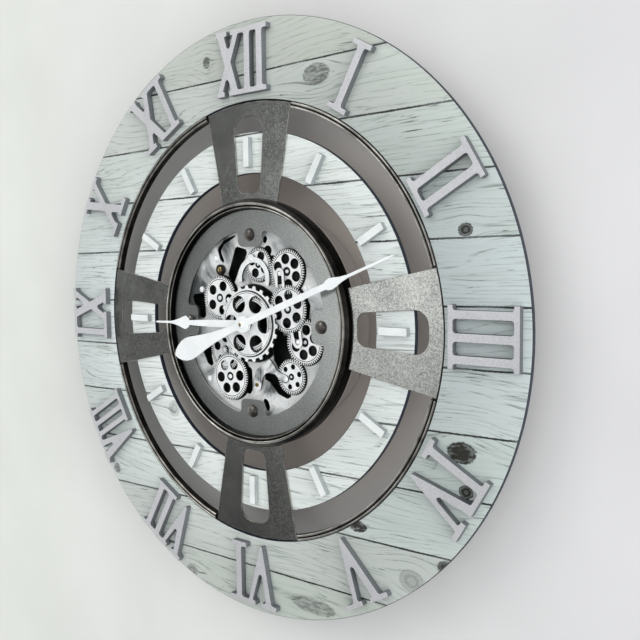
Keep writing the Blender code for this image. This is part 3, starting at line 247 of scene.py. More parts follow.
def sealed_back():
    """Fibreboard sealed with a thin grey-black wash: matt, with tan fibres about 1 mm long showing"""
    made, tree, shader, place = new_finish("sealed_back", Roughness=0.85)
    noise = add(tree, "ShaderNodeTexNoise", {"Vector": place, "Scale": 900.0, "Detail": 5.0,
                                             "Roughness": 0.7})
    hue = set_stops(add(tree, "ShaderNodeValToRGB", {0: noise}),
                    [(0.3, "#3E3B38"), (0.55, "#544E46"), (0.8, "#7E705C")])
    bump = add(tree, "ShaderNodeBump", {"Height": noise, "Strength": 0.3, "Distance": 0.0002})
    connect(shader, {"Base Color": hue, "Normal": bump})
    return made


def at(x, z, depth):
    """A point in metres from millimetres across, up and in front of the outer board's face"""
    return Vector((x * MM, -(FACE_FROM_WALL + depth) * MM, z * MM))


def stand(name, data):
    """Puts a named thing into the scene, at the origin"""
    thing = bpy.data.objects.new(name, data)
    bpy.context.collection.objects.link(thing)
    return thing


def piece_of(name, work, finishes, sharp):
    """Makes worked-up faces a named piece, smooth between its sharp edges"""
    for face in work.faces:
        face.smooth = True
    mesh = bpy.data.meshes.new(name)
    work.to_mesh(mesh)
    work.free()
    for made in finishes:
        mesh.materials.append(made)
    mesh.set_sharp_from_angle(angle=math.radians(sharp))
    return stand(name, mesh)


def new_piece(name, work, finishes, sharp=32.0):
    """A piece from faces laid point by point: what meets is merged, and faces are turned outwards"""
    bmesh.ops.remove_doubles(work, verts=work.verts, dist=1e-6)
    bmesh.ops.recalc_face_normals(work, faces=work.faces)
    return piece_of(name, work, finishes, sharp)


def spin_into(work, profile, picks, steps, centre=(0.0, 0.0), start=0.0, end=360.0):
    """Spins a closed profile of (radius, depth) into a ring, or into an arc with closed ends"""
    whole = end - start == 360.0
    rows = []
    for step in range(steps if whole else steps + 1):
        angle = math.radians(start + (end - start) * step / steps)
        row = []
        for radius, depth in profile:
            place = at(centre[0] + radius * math.cos(angle), centre[1] + radius * math.sin(angle), depth)
            row.append(work.verts.new(place))
        rows.append(row)
    for step in range(steps):
        here, there = rows[step], rows[(step + 1) % len(rows)]
        for point in range(len(profile)):
            following = (point + 1) % len(profile)
            if profile[point][0] == 0 and profile[following][0] == 0:
                continue
            face = work.faces.new((here[point], here[following], there[following], there[point]))
            face.material_index = picks[point] if picks else 0
    if not whole:
        work.faces.new(rows[0])
        work.faces.new(rows[-1])


def ring_board(name, size, finishes):
    """A sawn ring with softened corners: print in front, painted edges, dark back"""
    bore, radius, soft = size["bore"], size["radius"], size["round"]
    front, back = -size["setback"], -size["setback"] - size["thickness"]
    profile = [(bore + soft, front), (radius - soft, front), (radius - 0.3 * soft, front - 0.3 * soft),
               (radius, front - soft), (radius, back + soft), (radius - soft, back), (bore + soft, back),
               (bore, back + soft), (bore, front - soft), (bore + 0.3 * soft, front - 0.3 * soft)]
    work = bmesh.new()
    spin_into(work, profile, [0, 1, 1, 1, 1, 2, 1, 1, 1, 1], BOARD_STEPS)
    return new_piece(name, work, finishes)


# Brushed emulsion on sawn MDF: blue-black, satin, a little uneven
board_edge = mottled("edge_paint", 160.0, 4.0, [(0.35, "#191E29"), (0.7, "#2A3140")], Roughness=0.5)
board_back = sealed_back()
outer_board = ring_board("outer_board_planks", OUTER_BOARD,
                         [plank_print("plank_print_outer", 0.0), board_edge, board_back])
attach(outer_board, "frame")
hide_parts("outer_ring_board")

# --- Inner ring board ---
# The second ring of the same MDF, set 2.5 mm further back and held by the bridge plates. Its
# print runs on from the outer board's planks, but it is paler.
INNER_BOARD = {"bore": 151.0, "radius": 192.0, "thickness": 5.0, "setback": 2.5, "round": 0.5}
inner_board = ring_board("inner_board_planks", INNER_BOARD,
                         [plank_print("plank_print_inner", 0.5), board_edge, board_back])
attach(inner_board, "frame")
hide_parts("inner_ring_board")

# --- Outer rim ---
# A pressed steel ring inside the outer board's bore, with two rolled beads in front and a flange
# behind the board. It is let down where the bridge plates cross it.
RIM = {"inner": 216.0, "outer": 221.7, "flange": 232.0, "front": 1.0, "let_down": -2.6, "back": -5.3,
       "sheet": 1.2}
RIM_STEPS, RIM_QUARTER_STEPS = 240, 60
PLATE_HALF_WIDTH = 56.6
PLATE_SPREAD = math.degrees(math.asin(PLATE_HALF_WIDTH / RIM["inner"]))  # half of what a plate covers


def antique_bronze(name, low, high, metallic=1.0):
    """Blackened and lacquered steel: dark warm metal, glossy, with rubbed patches 10 to 20 mm long"""
    return mottled(name, 60.0, 5.0, [(0.35, low), (0.68, high)], (0.38, 0.22), Metallic=metallic)


def bead(middle, radius, top, count=6):
    """The rounded top of a rolled bead, from its outer to its inner foot"""
    points = []
    for step in range(count + 1):
        turn = math.pi * step / count
        points.append((middle + radius * math.cos(turn), top - radius + radius * math.sin(turn)))
    return points


def picked(profile, *sets):
    """The finish of each face of a spun profile: the place of the set that names it, or 0"""
    return [next((place for place, faces in enumerate(sets, 1) if number in faces), 0)
            for number in range(len(profile))]


bronze = antique_bronze("antique_bronze", "#2B2A29", "#4E4B48")
# Near-white on the bead tops: rubbed metal, and a painted highlight
bead_bronze_rubbed_and_highlit = antique_bronze("bead_bronze_rubbed_and_painted_highlight", "#8E8A84", "#E4E1DA")
rim_foot = RIM["back"] - RIM["sheet"]
rim_profile = bead(220.6, 1.1, RIM["front"]) + [(219.3, -0.6), (218.6, -0.6)]
rim_profile += bead(217.1, 1.1, RIM["front"]) + [(RIM["inner"], rim_foot), (RIM["outer"], rim_foot)]
rim_picks = picked(rim_profile, (1, 2, 3, 4, 9, 10, 11, 12, 13, 14))
rim_work = bmesh.new()
for quarter in range(4):
    spin_into(rim_work, rim_profile, rim_picks, RIM_QUARTER_STEPS, start=90 * quarter + PLATE_SPREAD,
              end=90 * (quarter + 1) - PLATE_SPREAD)
flange = [(RIM["inner"], RIM["back"]), (RIM["flange"], RIM["back"]), (RIM["flange"], rim_foot),
          (RIM["inner"], rim_foot)]
under_plates = [(RIM["inner"], RIM["let_down"]), (RIM["outer"], RIM["let_down"]),
                (RIM["outer"], RIM["back"]), (RIM["inner"], RIM["back"])]
for profile in (flange, under_plates):
    spin_into(rim_work, profile, None, RIM_STEPS)
outer_rim = new_piece("rolled_rim", rim_work, [bronze, bead_bronze_rubbed_and_highlit])
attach(outer_rim, "frame")
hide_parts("outer_rim")

# --- Bridge plates ---
# Four plates cut from 1.7 mm steel, powder coated in hammertone pewter, with a slot round an
# index bar. They join the bezel and both boards, and are screwed from behind.
SHARP_ANGLE = 35.0  # edges sharper than this are rounded


def settled(piece):
    """Keeps what the piece's modifiers make as its own plain mesh"""
    bpy.context.view_layer.update()
    shaped = piece.evaluated_get(bpy.context.evaluated_depsgraph_get())
    mesh = bpy.data.meshes.new_from_object(shaped)
    piece.modifiers.clear()
    piece.data = mesh
    return piece


def dressed(node, name, finishes, width, worn=-1, sides=0):
    """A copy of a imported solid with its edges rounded, as a press or a sander leaves them. The faces
    that don't look forwards take the finish numbered by sides, and the rounded edges that by worn."""
    work = bmesh.new()
    work.from_mesh(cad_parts[node].data)
    bmesh.ops.remove_doubles(work, verts=work.verts, dist=1e-6)
    bmesh.ops.dissolve_limit(work, angle_limit=math.radians(1), verts=work.verts, edges=work.edges)
    for face in work.faces:
        face.material_index = 0 if face.normal.y < -0.5 else sides
    piece = piece_of(name, work, finishes, SHARP_ANGLE)
    edge = piece.modifiers.new("rounded_edges", "BEVEL")
    edge.width = width * MM
    edge.segments = 2
    edge.limit_method = "ANGLE"
    edge.angle_limit = math.radians(SHARP_ANGLE)
    edge.harden_normals = True
    edge.material = worn
    return settled(piece)


def hammertone_pewter(name, low, high, rough):
    """Hammertone powder coat over steel: grey metal with light flecks and dimples about 1.5 mm wide"""
    made, tree, shader, place = new_finish(name, Metallic=1.0)
    flecks = add(tree, "ShaderNodeTexNoise", {"Vector": place, "Scale": 700.0, "Detail": 3.0,
                                              "Roughness": 0.6})
    clouds = add(tree, "ShaderNodeTexNoise", {"Vector": place, "Scale": 35.0, "Detail": 3.0})
    both = add(tree, "ShaderNodeMath", {0: clouds, 1: 0.35, 2: flecks}, operation="MULTIPLY_ADD")
    hue = set_stops(add(tree, "ShaderNodeValToRGB", {0: both}), [(0.47, low), (0.88, high)])
    bump = add(tree, "ShaderNodeBump", {"Height": flecks, "Strength": 0.01, "Distance": 0.0001})
    gloss = add(tree, "ShaderNodeMapRange", {"Value": flecks, "To Min": rough + 0.01, "To Max": rough - 0.01})
    connect(shader, {"Base Color": hue, "Normal": bump, "Roughness": gloss})
    return made


pewter = hammertone_pewter("hammertone_pewter", "#848583", "#CFD0CB", 0.25)
# Steel where the coat is rubbed off along an edge: brighter and smoother, in broken lengths
pewter_edge = mottled("rubbed_pewter_edge", 90.0, 4.0, [(0.38, "#77746F"), (0.58, "#CFCCC5")],
                      Metallic=1.0, Roughness=0.3)
for hour in (12, 3, 6, 9):
    plate = dressed(f"bridge_plate_{hour}", f"hammered_plate_{hour}", [pewter, pewter_edge], 0.45, worn=1)
    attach(plate, "frame")
    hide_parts(f"bridge_plate_{hour}")

# --- Bezel ---
# A ring spun from steel sheet round the gears, with two rolled beads and a deep plain wall
# outside. It is blackened, its deep walls darker still as painted shade, and it is rubbed bright on the
# beads, partly as a painted highlight.
BEZEL = {"outer": 125.5, "inside": 124.3, "bore": 115.3, "back": -8.5}
BEZEL_STEPS = 256
bezel_profile = [(BEZEL["outer"], BEZEL["back"]), (BEZEL["outer"], 2.0), (125.2, 3.4), (124.2, 4.4),
                 (122.6, 5.0)] + bead(120.5, 1.4, 7.0, 8) + [(118.6, 4.0), (118.3, 3.8)]
bezel_profile += bead(116.9, 1.1, 5.5, 8) + [(BEZEL["bore"], 3.4), (BEZEL["bore"], -0.2), (116.9, -0.2),
                                             (118.0, 1.2), (123.0, 2.4), (BEZEL["inside"], 0.6),
                                             (BEZEL["inside"], BEZEL["back"])]
bead_spans, wall_spans = (6, 7, 8, 9, 10, 17, 18, 19, 20), (0, 1, 23, 24, 25, 29, 30)
bezel_picks = picked(bezel_profile, bead_spans, wall_spans)
bezel_wall_black_and_shade = antique_bronze("bezel_wall_blackened_and_painted_shade", "#0D0D0D", "#1C1C1C")
bezel_work = bmesh.new()
spin_into(bezel_work, bezel_profile, bezel_picks, BEZEL_STEPS)
bezel = new_piece("spun_bezel", bezel_work, [bronze, bead_bronze_rubbed_and_highlit, bezel_wall_black_and_shade], 40)
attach(bezel, "frame")
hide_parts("bezel")

# --- Gear case ---
# A drum pressed from steel, black inside and smoke grey on its side, with a floor between the
# gears and the works. It stands between the bezel and the wall, and shows in the inner gap.
CASE_RADIUS = 112.0


def from_axis(tree, place):
    """How far a point on a piece lies from the clock's axis, in metres"""
    flat = add(tree, "ShaderNodeVectorMath", {0: place, 1: (1, 0, 1)}, operation="MULTIPLY")
    return add(tree, "ShaderNodeVectorMath", {0: flat}, operation="LENGTH").outputs["Value"]


def drum_powder_coat(name, grey_outside):
    """Black powder coat: semi-matt, with orange peel about 1 mm across. Outside a radius in mm it is
    smoke grey, which shows the drum's side as a soft grey band behind the bezel."""
    made, tree, shader, place = new_finish(name)
    peel = add(tree, "ShaderNodeTexNoise", {"Vector": place, "Scale": 800.0, "Detail": 2.0})
    black = set_stops(add(tree, "ShaderNodeValToRGB", {0: peel}), [(0.3, "#0B0C0D"), (0.7, "#191B1D")])
    bump = add(tree, "ShaderNodeBump", {"Height": peel, "Strength": 0.2, "Distance": 0.0002})
    rough = add(tree, "ShaderNodeMapRange", {"Value": peel, "To Min": 0.45, "To Max": 0.6})
    outside = add(tree, "ShaderNodeMath", {0: from_axis(tree, place), 1: grey_outside * MM},
                  operation="GREATER_THAN")
    hue = add(tree, "ShaderNodeMix", {"Factor": outside, "A": black, "B": linear("#98918D")},
              data_type="RGBA")
    connect(shader, {"Base Color": hue.outputs["Result"], "Normal": bump, "Roughness": rough})
    return made


case_coat = drum_powder_coat("black_and_smoke_grey_coat", CASE_RADIUS - 0.6)
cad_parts["gear_case"].material_slots[0].material = case_coat

# --- Gear plate ---
# One sheet pressed and plated in bright silver, with dark windows, a lip under the mask and a
# post for each gear. The plating is rubbed, so it is cloudy. Its pressed sides, and rounds under the wheels,
# are painted near-black as shade.
MODULE, ADDENDUM = 0.8, 0.5  # of the wheels' teeth
SHADE_MARGIN, CENTRE_SHADE_RADIUS = 1.5, 41.0  # of the rounds of painted shade under the wheels
SILVER_STOPS = [(0.34, "#5E6263"), (0.45, "#D2D5D5"), (0.54, "#FAFBFB")]


def next_wheel(before, teeth, angle, driver=None):
    """Where a wheel lies that meshes with the one before it, and its first tooth's angle"""
    driver = driver or before[0]
    own, other = MODULE * teeth / 2, MODULE * driver / 2
    place = (before[1][0] + (own + other) * math.cos(math.radians(angle)),
             before[1][1] + (own + other) * math.sin(math.radians(angle)))
    offset = math.radians(before[2] - angle) * other
    return teeth, place, angle + 180 + math.degrees((math.pi * MODULE / 2 - offset) / own)


centre = (70, (0.0, 0.0), 0.0)
train = {"left": next_wheel(centre, 57, 150.3), "right": next_wheel(centre, 58, 18.2),
         "idler": next_wheel(centre, 53, 216.6)}
train["lower_left"] = next_wheel(train["idler"], 61, -73.2, 10)
train["upper_right"] = next_wheel(train["right"], 54, 93.4, 38)
train["lower_right"] = next_wheel(train["right"], 55, -58.6, 38)
train["small"] = next_wheel(train["lower_right"], 43, -116.5)
train["top"] = next_wheel(train["upper_right"], 42, 169.5)
SHADE_UNDER_WHEELS = [(place, MODULE * teeth / 2 + ADDENDUM + SHADE_MARGIN)
                for teeth, place, _ in train.values()]
SHADE_UNDER_WHEELS.append(((0, 0), CENTRE_SHADE_RADIUS))


def pressed_silver(name, scale, shade_darkened=()):
    """Rubbed nickel plate on pressed steel: bright, cloudy over 20 to 60 mm, streaked by polishing,
    and painted near-black in the given rounds under the wheels, as the shade that they cast"""
    made, tree, shader, place = new_finish(name, Metallic=0.4, Roughness=0.3)
    swirl = add(tree, "ShaderNodeTexNoise", {"Vector": place, "Scale": scale, "Detail": 4.0,
                                             "Roughness": 0.5, "Distortion": 1.2})
    hue = set_stops(add(tree, "ShaderNodeValToRGB", {0: swirl}), SILVER_STOPS)
    flat = add(tree, "ShaderNodeVectorMath", {0: place, 1: (1, 0, 1)}, operation="MULTIPLY")
    # Painted shade: each given round is painted near-black, fading out over its last 1.2 mm
    for middle, radius in shade_darkened:
        away = add(tree, "ShaderNodeVectorMath", {0: flat, 1: (middle[0] * MM, 0, middle[1] * MM)},
                   operation="DISTANCE").outputs["Value"]
        under = add(tree, "ShaderNodeMapRange", {"Value": away, "From Min": radius * MM,
                                                 "From Max": (radius - 1.2) * MM})
        hue = add(tree, "ShaderNodeMix", {"Factor": under, "A": hue, "B": linear("#0B0C0C")},
                  data_type="RGBA").outputs["Result"]
    streaks = add(tree, "ShaderNodeTexNoise", {"Vector": place, "Scale": 240.0, "Detail": 3.0,
                                               "Distortion": 2.0})
    both = add(tree, "ShaderNodeMath", {0: streaks, 1: 0.3, 2: swirl}, operation="MULTIPLY_ADD")
    bump = add(tree, "ShaderNodeBump", {"Height": both, "Strength": 0.3, "Distance": 0.002})
    rough = add(tree, "ShaderNodeMapRange", {"Value": streaks, "To Min": 0.22, "To Max": 0.4})
    connect(shader, {"Base Color": hue, "Normal": bump, "Roughness": rough})
    return made


# Satin nickel plate: almost white, with faint tarnish in patches about 8 mm wide
nickel = mottled("satin_nickel", 120.0, 4.0, [(0.3, "#E2E5E7"), (0.6, "#F7F8F8")], (0.42, 0.28),
                 Metallic=0.15)
# Near-black for engraved lines, sunk hubs and the sides of plated pieces: antiquing with painted shade in the
# lines and hubs, painted shade alone on the sides. Dull and patchy
antique_and_shade_black = mottled("antique_and_shade_black", 300.0, 3.0, [(0.35, "#0E0F10"), (0.7, "#2A2C2D")], Metallic=0.3,
                       Roughness=0.6)
plate_silver = pressed_silver("pressed_silver", 17.0, SHADE_UNDER_WHEELS)
gear_plate = dressed("gear_plate", "pressed_gear_plate", [plate_silver, antique_and_shade_black], 0.35, sides=1)
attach(gear_plate, "frame")
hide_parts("gear_plate")

# --- Gears ---
# Eight fine-toothed wheels and the centre wheel, stamped from 1.6 mm sheet and plated bright,
# each with round holes, an engraved line inside its teeth and a sunk hub on its post.
FRONT_LAYER, REAR_LAYER = -1.8, -4.0
ROOT_DEPTH = 2.1  # from the pitch circle, deeper than in the solids so that the teeth show
DOME_TURNS = (0, 0.4, 0.8, 1.2, 1.57)  # radians from the top of a domed head to its rim
WHEEL_SIZES = (
    ("Teeth", "NodeSocketInt", 57), ("Tip", "NodeSocketFloat", 23.0), ("Root", "NodeSocketFloat", 21.5),
    ("Tip Share", "NodeSocketFloat", 0.15), ("Root Share", "NodeSocketFloat", 0.26),
    ("Line", "NodeSocketFloat", 20.0), ("Line Width", "NodeSocketFloat", 0.7),
    ("Hole Count", "NodeSocketInt", 6), ("Hole Radius", "NodeSocketFloat", 5.0),
    ("Hole Circle", "NodeSocketFloat", 13.0), ("Hole Turn", "NodeSocketFloat", 0.0),
    ("Hub", "NodeSocketFloat", 4.6), ("Bore", "NodeSocketFloat", 1.9),
    ("Thickness", "NodeSocketFloat", 1.6), ("Sink", "NodeSocketFloat", 0.8),
)


def shaping_tree(name, sizes):
    """An empty Geometry Nodes tree with named sizes, and the sockets that give them"""
    tree = bpy.data.node_groups.new(name, "GeometryNodeTree")
    tree.interface.new_socket(name="Geometry", in_out="OUTPUT", socket_type="NodeSocketGeometry")
    for size, kind, value in sizes:
        tree.interface.new_socket(name=size, in_out="INPUT", socket_type=kind).default_value = value
    return tree, add(tree, "NodeGroupInput").outputs


def wheel_tree():
    """Stamps a wheel: a toothed ring, a pierced web inside the engraved line, and sunk floors"""
    tree, given = shaping_tree("stamped_wheel", WHEEL_SIZES)

    # Four outline points to a tooth: root, tip, tip, root
    points = add(tree, "ShaderNodeMath", {0: given["Teeth"], 1: 4.0}, operation="MULTIPLY")
    rim = add(tree, "GeometryNodeCurvePrimitiveCircle", {"Resolution": points, "Radius": 1.0})
    index = add(tree, "GeometryNodeInputIndex")
    quarter = add(tree, "ShaderNodeMath", {0: index, 1: 4.0}, operation="MODULO")
    side = add(tree, "ShaderNodeMath", {0: quarter, 1: 1.5}, operation="SUBTRACT")
    tooth = add(tree, "ShaderNodeMath", {0: index, 1: 4.0}, operation="DIVIDE")
    tooth = add(tree, "ShaderNodeMath", {0: tooth}, operation="FLOOR")
    sign = add(tree, "ShaderNodeMath", {0: side}, operation="SIGN")
    apart = add(tree, "ShaderNodeMath", {0: side}, operation="ABSOLUTE")
    at_tip = add(tree, "ShaderNodeMath", {0: apart, 1: 1.0}, operation="LESS_THAN")
    share = add(tree, "ShaderNodeMix", {"Factor": at_tip, "A": given["Root Share"], "B": given["Tip Share"]})
    radius = add(tree, "ShaderNodeMix", {"Factor": at_tip, "A": given["Root"], "B": given["Tip"]})
    lean = add(tree, "ShaderNodeMath", {0: sign, 1: share, 2: tooth}, operation="MULTIPLY_ADD")
    part = add(tree, "ShaderNodeMath", {0: lean, 1: given["Teeth"]}, operation="DIVIDE")
    angle = add(tree, "ShaderNodeMath", {0: part, 1: math.tau}, operation="MULTIPLY")
    across = add(tree, "ShaderNodeMath", {0: angle}, operation="COSINE")
    up = add(tree, "ShaderNodeMath", {0: angle}, operation="SINE")
    unit = add(tree, "ShaderNodeCombineXYZ", {"X": across, "Y": up})
    out = add(tree, "ShaderNodeVectorMath", {0: unit, "Scale": radius.outputs["Result"]}, operation="SCALE")
    teeth = add(tree, "GeometryNodeSetPosition", {"Geometry": rim, "Position": out})

    # Circles of the line, the hub, the bore and the ring of holes
    half_line = add(tree, "ShaderNodeMath", {0: given["Line Width"], 1: 0.5}, operation="MULTIPLY")
    line_out = add(tree, "ShaderNodeMath", {0: given["Line"], 1: half_line}, operation="ADD")
    line_in = add(tree, "ShaderNodeMath", {0: given["Line"], 1: half_line}, operation="SUBTRACT")
    circles = []
    for size in (line_out, line_in, given["Hub"], given["Bore"]):
        circles.append(add(tree, "GeometryNodeCurvePrimitiveCircle", {"Resolution": 64, "Radius": size}))
    ring = add(tree, "GeometryNodeMeshCircle", {"Vertices": given["Hole Count"],
                                                "Radius": given["Hole Circle"]})
    hole_angle = add(tree, "ShaderNodeMath", {0: given["Hole Turn"], 1: math.radians(1)},
                     operation="MULTIPLY")
    spun = add(tree, "ShaderNodeCombineXYZ", {"Z": hole_angle})
    ring = add(tree, "GeometryNodeTransform", {"Geometry": ring, "Rotation": spun})
    hole = add(tree, "GeometryNodeCurvePrimitiveCircle", {"Resolution": 28, "Radius": given["Hole Radius"]})
    holes = add(tree, "GeometryNodeInstanceOnPoints", {"Points": ring, "Instance": hole})
    holes = add(tree, "GeometryNodeRealizeInstances", {"Geometry": holes})

    sunk = add(tree, "ShaderNodeMath", {0: given["Thickness"], 1: given["Sink"]}, operation="SUBTRACT")
    plates = []
    for curves, height, antique_or_shade in (
        ((teeth, circles[0]), given["Thickness"], False),
        ((circles[1], circles[2], holes), given["Thickness"], False),
        ((circles[0], circles[1]), sunk, True), ((circles[2], circles[3]), sunk, True),
    ):
        outline = add(tree, "GeometryNodeJoinGeometry")
        for curve in curves:
            tree.links.new(curve.outputs[0], outline.inputs[0])
        flat = add(tree, "GeometryNodeFillCurve", {"Curve": outline})
        raised = add(tree, "GeometryNodeExtrudeMesh", {"Mesh": flat, "Offset Scale": height,
                                                       "Individual": False})
        under = add(tree, "GeometryNodeFlipFaces", {"Mesh": flat})
        shut = add(tree, "GeometryNodeJoinGeometry")
        tree.links.new(raised.outputs["Mesh"], shut.inputs[0])
        tree.links.new(under.outputs[0], shut.inputs[0])
        welded = add(tree, "GeometryNodeMergeByDistance", {"Geometry": shut, "Distance": 0.001})
        # Sides, backs and sunk floors take the near-black finish: antiquing with painted shade on the floors,
        # painted shade on the sides
        facing = add(tree, "ShaderNodeSeparateXYZ", {0: add(tree, "GeometryNodeInputNormal")}).outputs["Z"]
        dark = add(tree, "ShaderNodeMath", {0: facing, 1: 1.0 if antique_or_shade else 0.5}, operation="LESS_THAN")
        dark = add(tree, "ShaderNodeMath", {0: dark, 1: 1.0 if antique_or_shade else 0.0}, operation="MAXIMUM")
        plates.append(add(tree, "GeometryNodeStoreNamedAttribute",
                          {"Geometry": welded, "Name": "antique_or_shade", "Value": dark},
                          data_type="BOOLEAN", domain="FACE"))
    whole = add(tree, "GeometryNodeJoinGeometry")
    for plate in plates:
        tree.links.new(plate.outputs[0], whole.inputs[0])
    made_real = add(tree, "GeometryNodeRealizeInstances", {"Geometry": whole})
    plated = add(tree, "GeometryNodeSetMaterial", {"Geometry": made_real, "Material": nickel})
    low = add(tree, "GeometryNodeInputNamedAttribute", {"Name": "antique_or_shade"}, data_type="BOOLEAN")
    shade_darkened = add(tree, "GeometryNodeSetMaterial",
                    {"Geometry": plated, "Selection": low.outputs["Attribute"], "Material": antique_and_shade_black})
    add(tree, "NodeGroupOutput", {"Geometry": shade_darkened})
    return tree


stamping = wheel_tree()
stamping_sockets = {s.name: s.identifier for s in stamping.interface.items_tree if s.in_out == "INPUT"}


def stamped(name, place, back, turn, **sizes):
    """One wheel, stamped flat and then set at its place with its back at the given depth"""
    piece = stand(name, bpy.data.meshes.new(name))
    press = piece.modifiers.new("stamping", "NODES")
    press.node_group = stamping
    for size, kind, default in WHEEL_SIZES:
        press[stamping_sockets[size]] = sizes.get(size.replace(" ", "_").lower(), default)
    settled(piece)
    piece.data.transform(Matrix.Translation(at(*place, back)) @ Matrix.Rotation(math.pi / 2, 4, "X")
                         @ Matrix.Rotation(math.radians(turn), 4, "Z") @ Matrix.Scale(MM, 4))
    return piece


def as_one(name, pieces):
    """Joins pieces that are one part in the hand"""
    work = bmesh.new()
    finishes = []
    for piece in pieces:
        own = {}
        for number, made in enumerate(piece.data.materials):
            if made not in finishes:
                finishes.append(made)
            own[number] = finishes.index(made)
        before = len(work.faces)
        work.from_mesh(piece.data)
        work.faces.ensure_lookup_table()
        for face in work.faces[before:]:
            face.material_index = own.get(face.material_index, 0)
        bpy.data.objects.remove(piece)
    return new_piece(name, work, finishes)


def train_wheel(body, layer, count, radius, circle, turn, line, hub=4.6, bore=1.9):
    """A fine-toothed wheel of the train, with a count of round holes on a circle"""
    teeth, place, phase = train[body]
    pitch = MODULE * teeth / 2
    return stamped(f"{body}_wheel", place, layer, phase, teeth=teeth, tip=pitch + ADDENDUM,
                   root=pitch - ROOT_DEPTH, line=line, hole_count=count, hole_radius=radius,
                   hole_circle=circle, hole_turn=turn - phase, hub=hub, bore=bore)


wheels = {
    "left": [train_wheel("left", FRONT_LAYER, 5, 5.2, 13.2, 69, 19.5)],
    "lower_left": [train_wheel("lower_left", FRONT_LAYER, 6, 5.4, 13.7, 7, 20.9)],
    "upper_right": [train_wheel("upper_right", REAR_LAYER, 6, 5.2, 12.5, 38, 18.5)],
    "lower_right": [train_wheel("lower_right", REAR_LAYER, 6, 5.2, 12.3, 22, 18.8)],
    "small": [train_wheel("small", REAR_LAYER, 6, 2.7, 10.3, 18, 14.2, hub=3.4)],
    "top": [train_wheel("top", REAR_LAYER, 4, 4.8, 9.2, 65, 14.0, hub=3.6)],
    "idler": [train_wheel("idler", REAR_LAYER, 5, 4.6, 12.5, 20, 18.1),
              stamped("idler_pinion_wheel", train["idler"][1], -2.6, train["idler"][2], teeth=10, tip=4.5,
                      root=2.8, line=2.35, line_width=0.1, hole_count=3, hole_radius=0.02,
                      hole_circle=2.15, hub=2.05, bore=1.9, thickness=2.4, sink=0.2)],
    "right": [train_wheel("right", FRONT_LAYER, 6, 5.3, 13.7, 25, 20.0, bore=1.5),
              stamped("right_second_wheel", train["right"][1], REAR_LAYER, train["right"][2], teeth=38,
                      tip=15.7, root=14.0, line=12.6, hole_count=6, hole_radius=2.4, hole_circle=8.8,
                      hub=4.8, bore=1.5)],
}

# The centre wheel: a fine ring behind, the coarse wheel, and a raised disc with six large holes
COARSE = {"teeth": 23, "tip": 39.0, "root": 36.0, "back": 1.9, "thickness": 2.2, "first": 92.4}
wheels["centre"] = [
    stamped("centre_fine_ring", (0, 0), REAR_LAYER, 0, teeth=70, tip=28.5, root=26.8, line=25.4,
            line_width=0.5, hole_count=3, hole_radius=0.02, hole_circle=24.4, hub=23.6, bore=23.4,
            thickness=5.95, sink=0.2),
    stamped("centre_coarse_wheel", (0, 0), COARSE["back"], COARSE["first"], teeth=COARSE["teeth"],
            tip=COARSE["tip"], root=COARSE["root"], tip_share=0.15, root_share=0.27, line=33.4,
            line_width=1.2, hole_radius=8.8, hole_circle=22.7, hole_turn=-COARSE["first"], hub=6.5, bore=4.4,
            thickness=COARSE["thickness"], sink=0.6),
    stamped("centre_raised_disc", (0, 0), COARSE["back"] + COARSE["thickness"] - 0.1, 0, teeth=45, tip=32.7,
            root=32.7, tip_share=0.125, root_share=0.375, line=31.4, line_width=0.5, hole_radius=8.8,
            hole_circle=22.7, hub=6.2, bore=4.4, thickness=1.8, sink=0.4),
]

# The right wheel's second wheel lies in shade behind it, and is painted near-black all over as that shade
shade_painted_wheel = wheels["right"][1].data
for slot in range(len(shade_painted_wheel.materials)):
    shade_painted_wheel.materials[slot] = antique_and_shade_black

# Pins: bright domed heads in the sunk hubs, turned with the wheel they hold. Radius and depth of
# each head.
PIN_HEADS = {"left": (2.3, 0.8), "lower_left": (2.3, 0.8), "idler": (2.0, -0.1),
             "upper_right": (1.8, -1.85), "lower_right": (1.8, -1.85), "small": (1.5, -1.85),
             "top": (1.5, -1.85), "right": (2.0, 0.8)}
PIN_STEPS = 24
for body, (size, depth) in PIN_HEADS.items():
    dome = [(size * math.sin(turn), depth - 0.5 + 0.75 * math.cos(turn)) for turn in DOME_TURNS]
    pin_work = bmesh.new()
    spin_into(pin_work, dome + [(size, depth - 1.2), (0, depth - 1.2)], None, PIN_STEPS,
              centre=train[body][1])
    wheels[body].append(new_piece(f"{body}_pin", pin_work, [nickel]))
for body, parts in wheels.items():
    wheel = as_one(f"{body}_gear_plated", parts)
    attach(wheel, body)
    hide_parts(f"{body}_gear")

# --- Brackets and levers ---
# Flat brackets pressed from 1.6 mm sheet in front of the gear plate, on studs, with small bosses
# and screws. Two hairpin levers, and the bosses at their bends, stand clear in front of the
# wheels, and nothing ties them back.
BRASS_STOPS = [(0.3, "#8F7A52"), (0.7, "#CDB88C")]
lever_silver = pressed_silver("lever_silver", 50.0)
# Their sides take the near-black finish as painted shade
for node, name in (("arch_bracket", "arch_bracket_plated"), ("s_lever", "s_lever_plated")):
    bracket = dressed(node, name, [lever_silver if node == "s_lever" else nickel, antique_and_shade_black], 0.3, sides=1)
    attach(bracket, "frame")
    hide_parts(node)


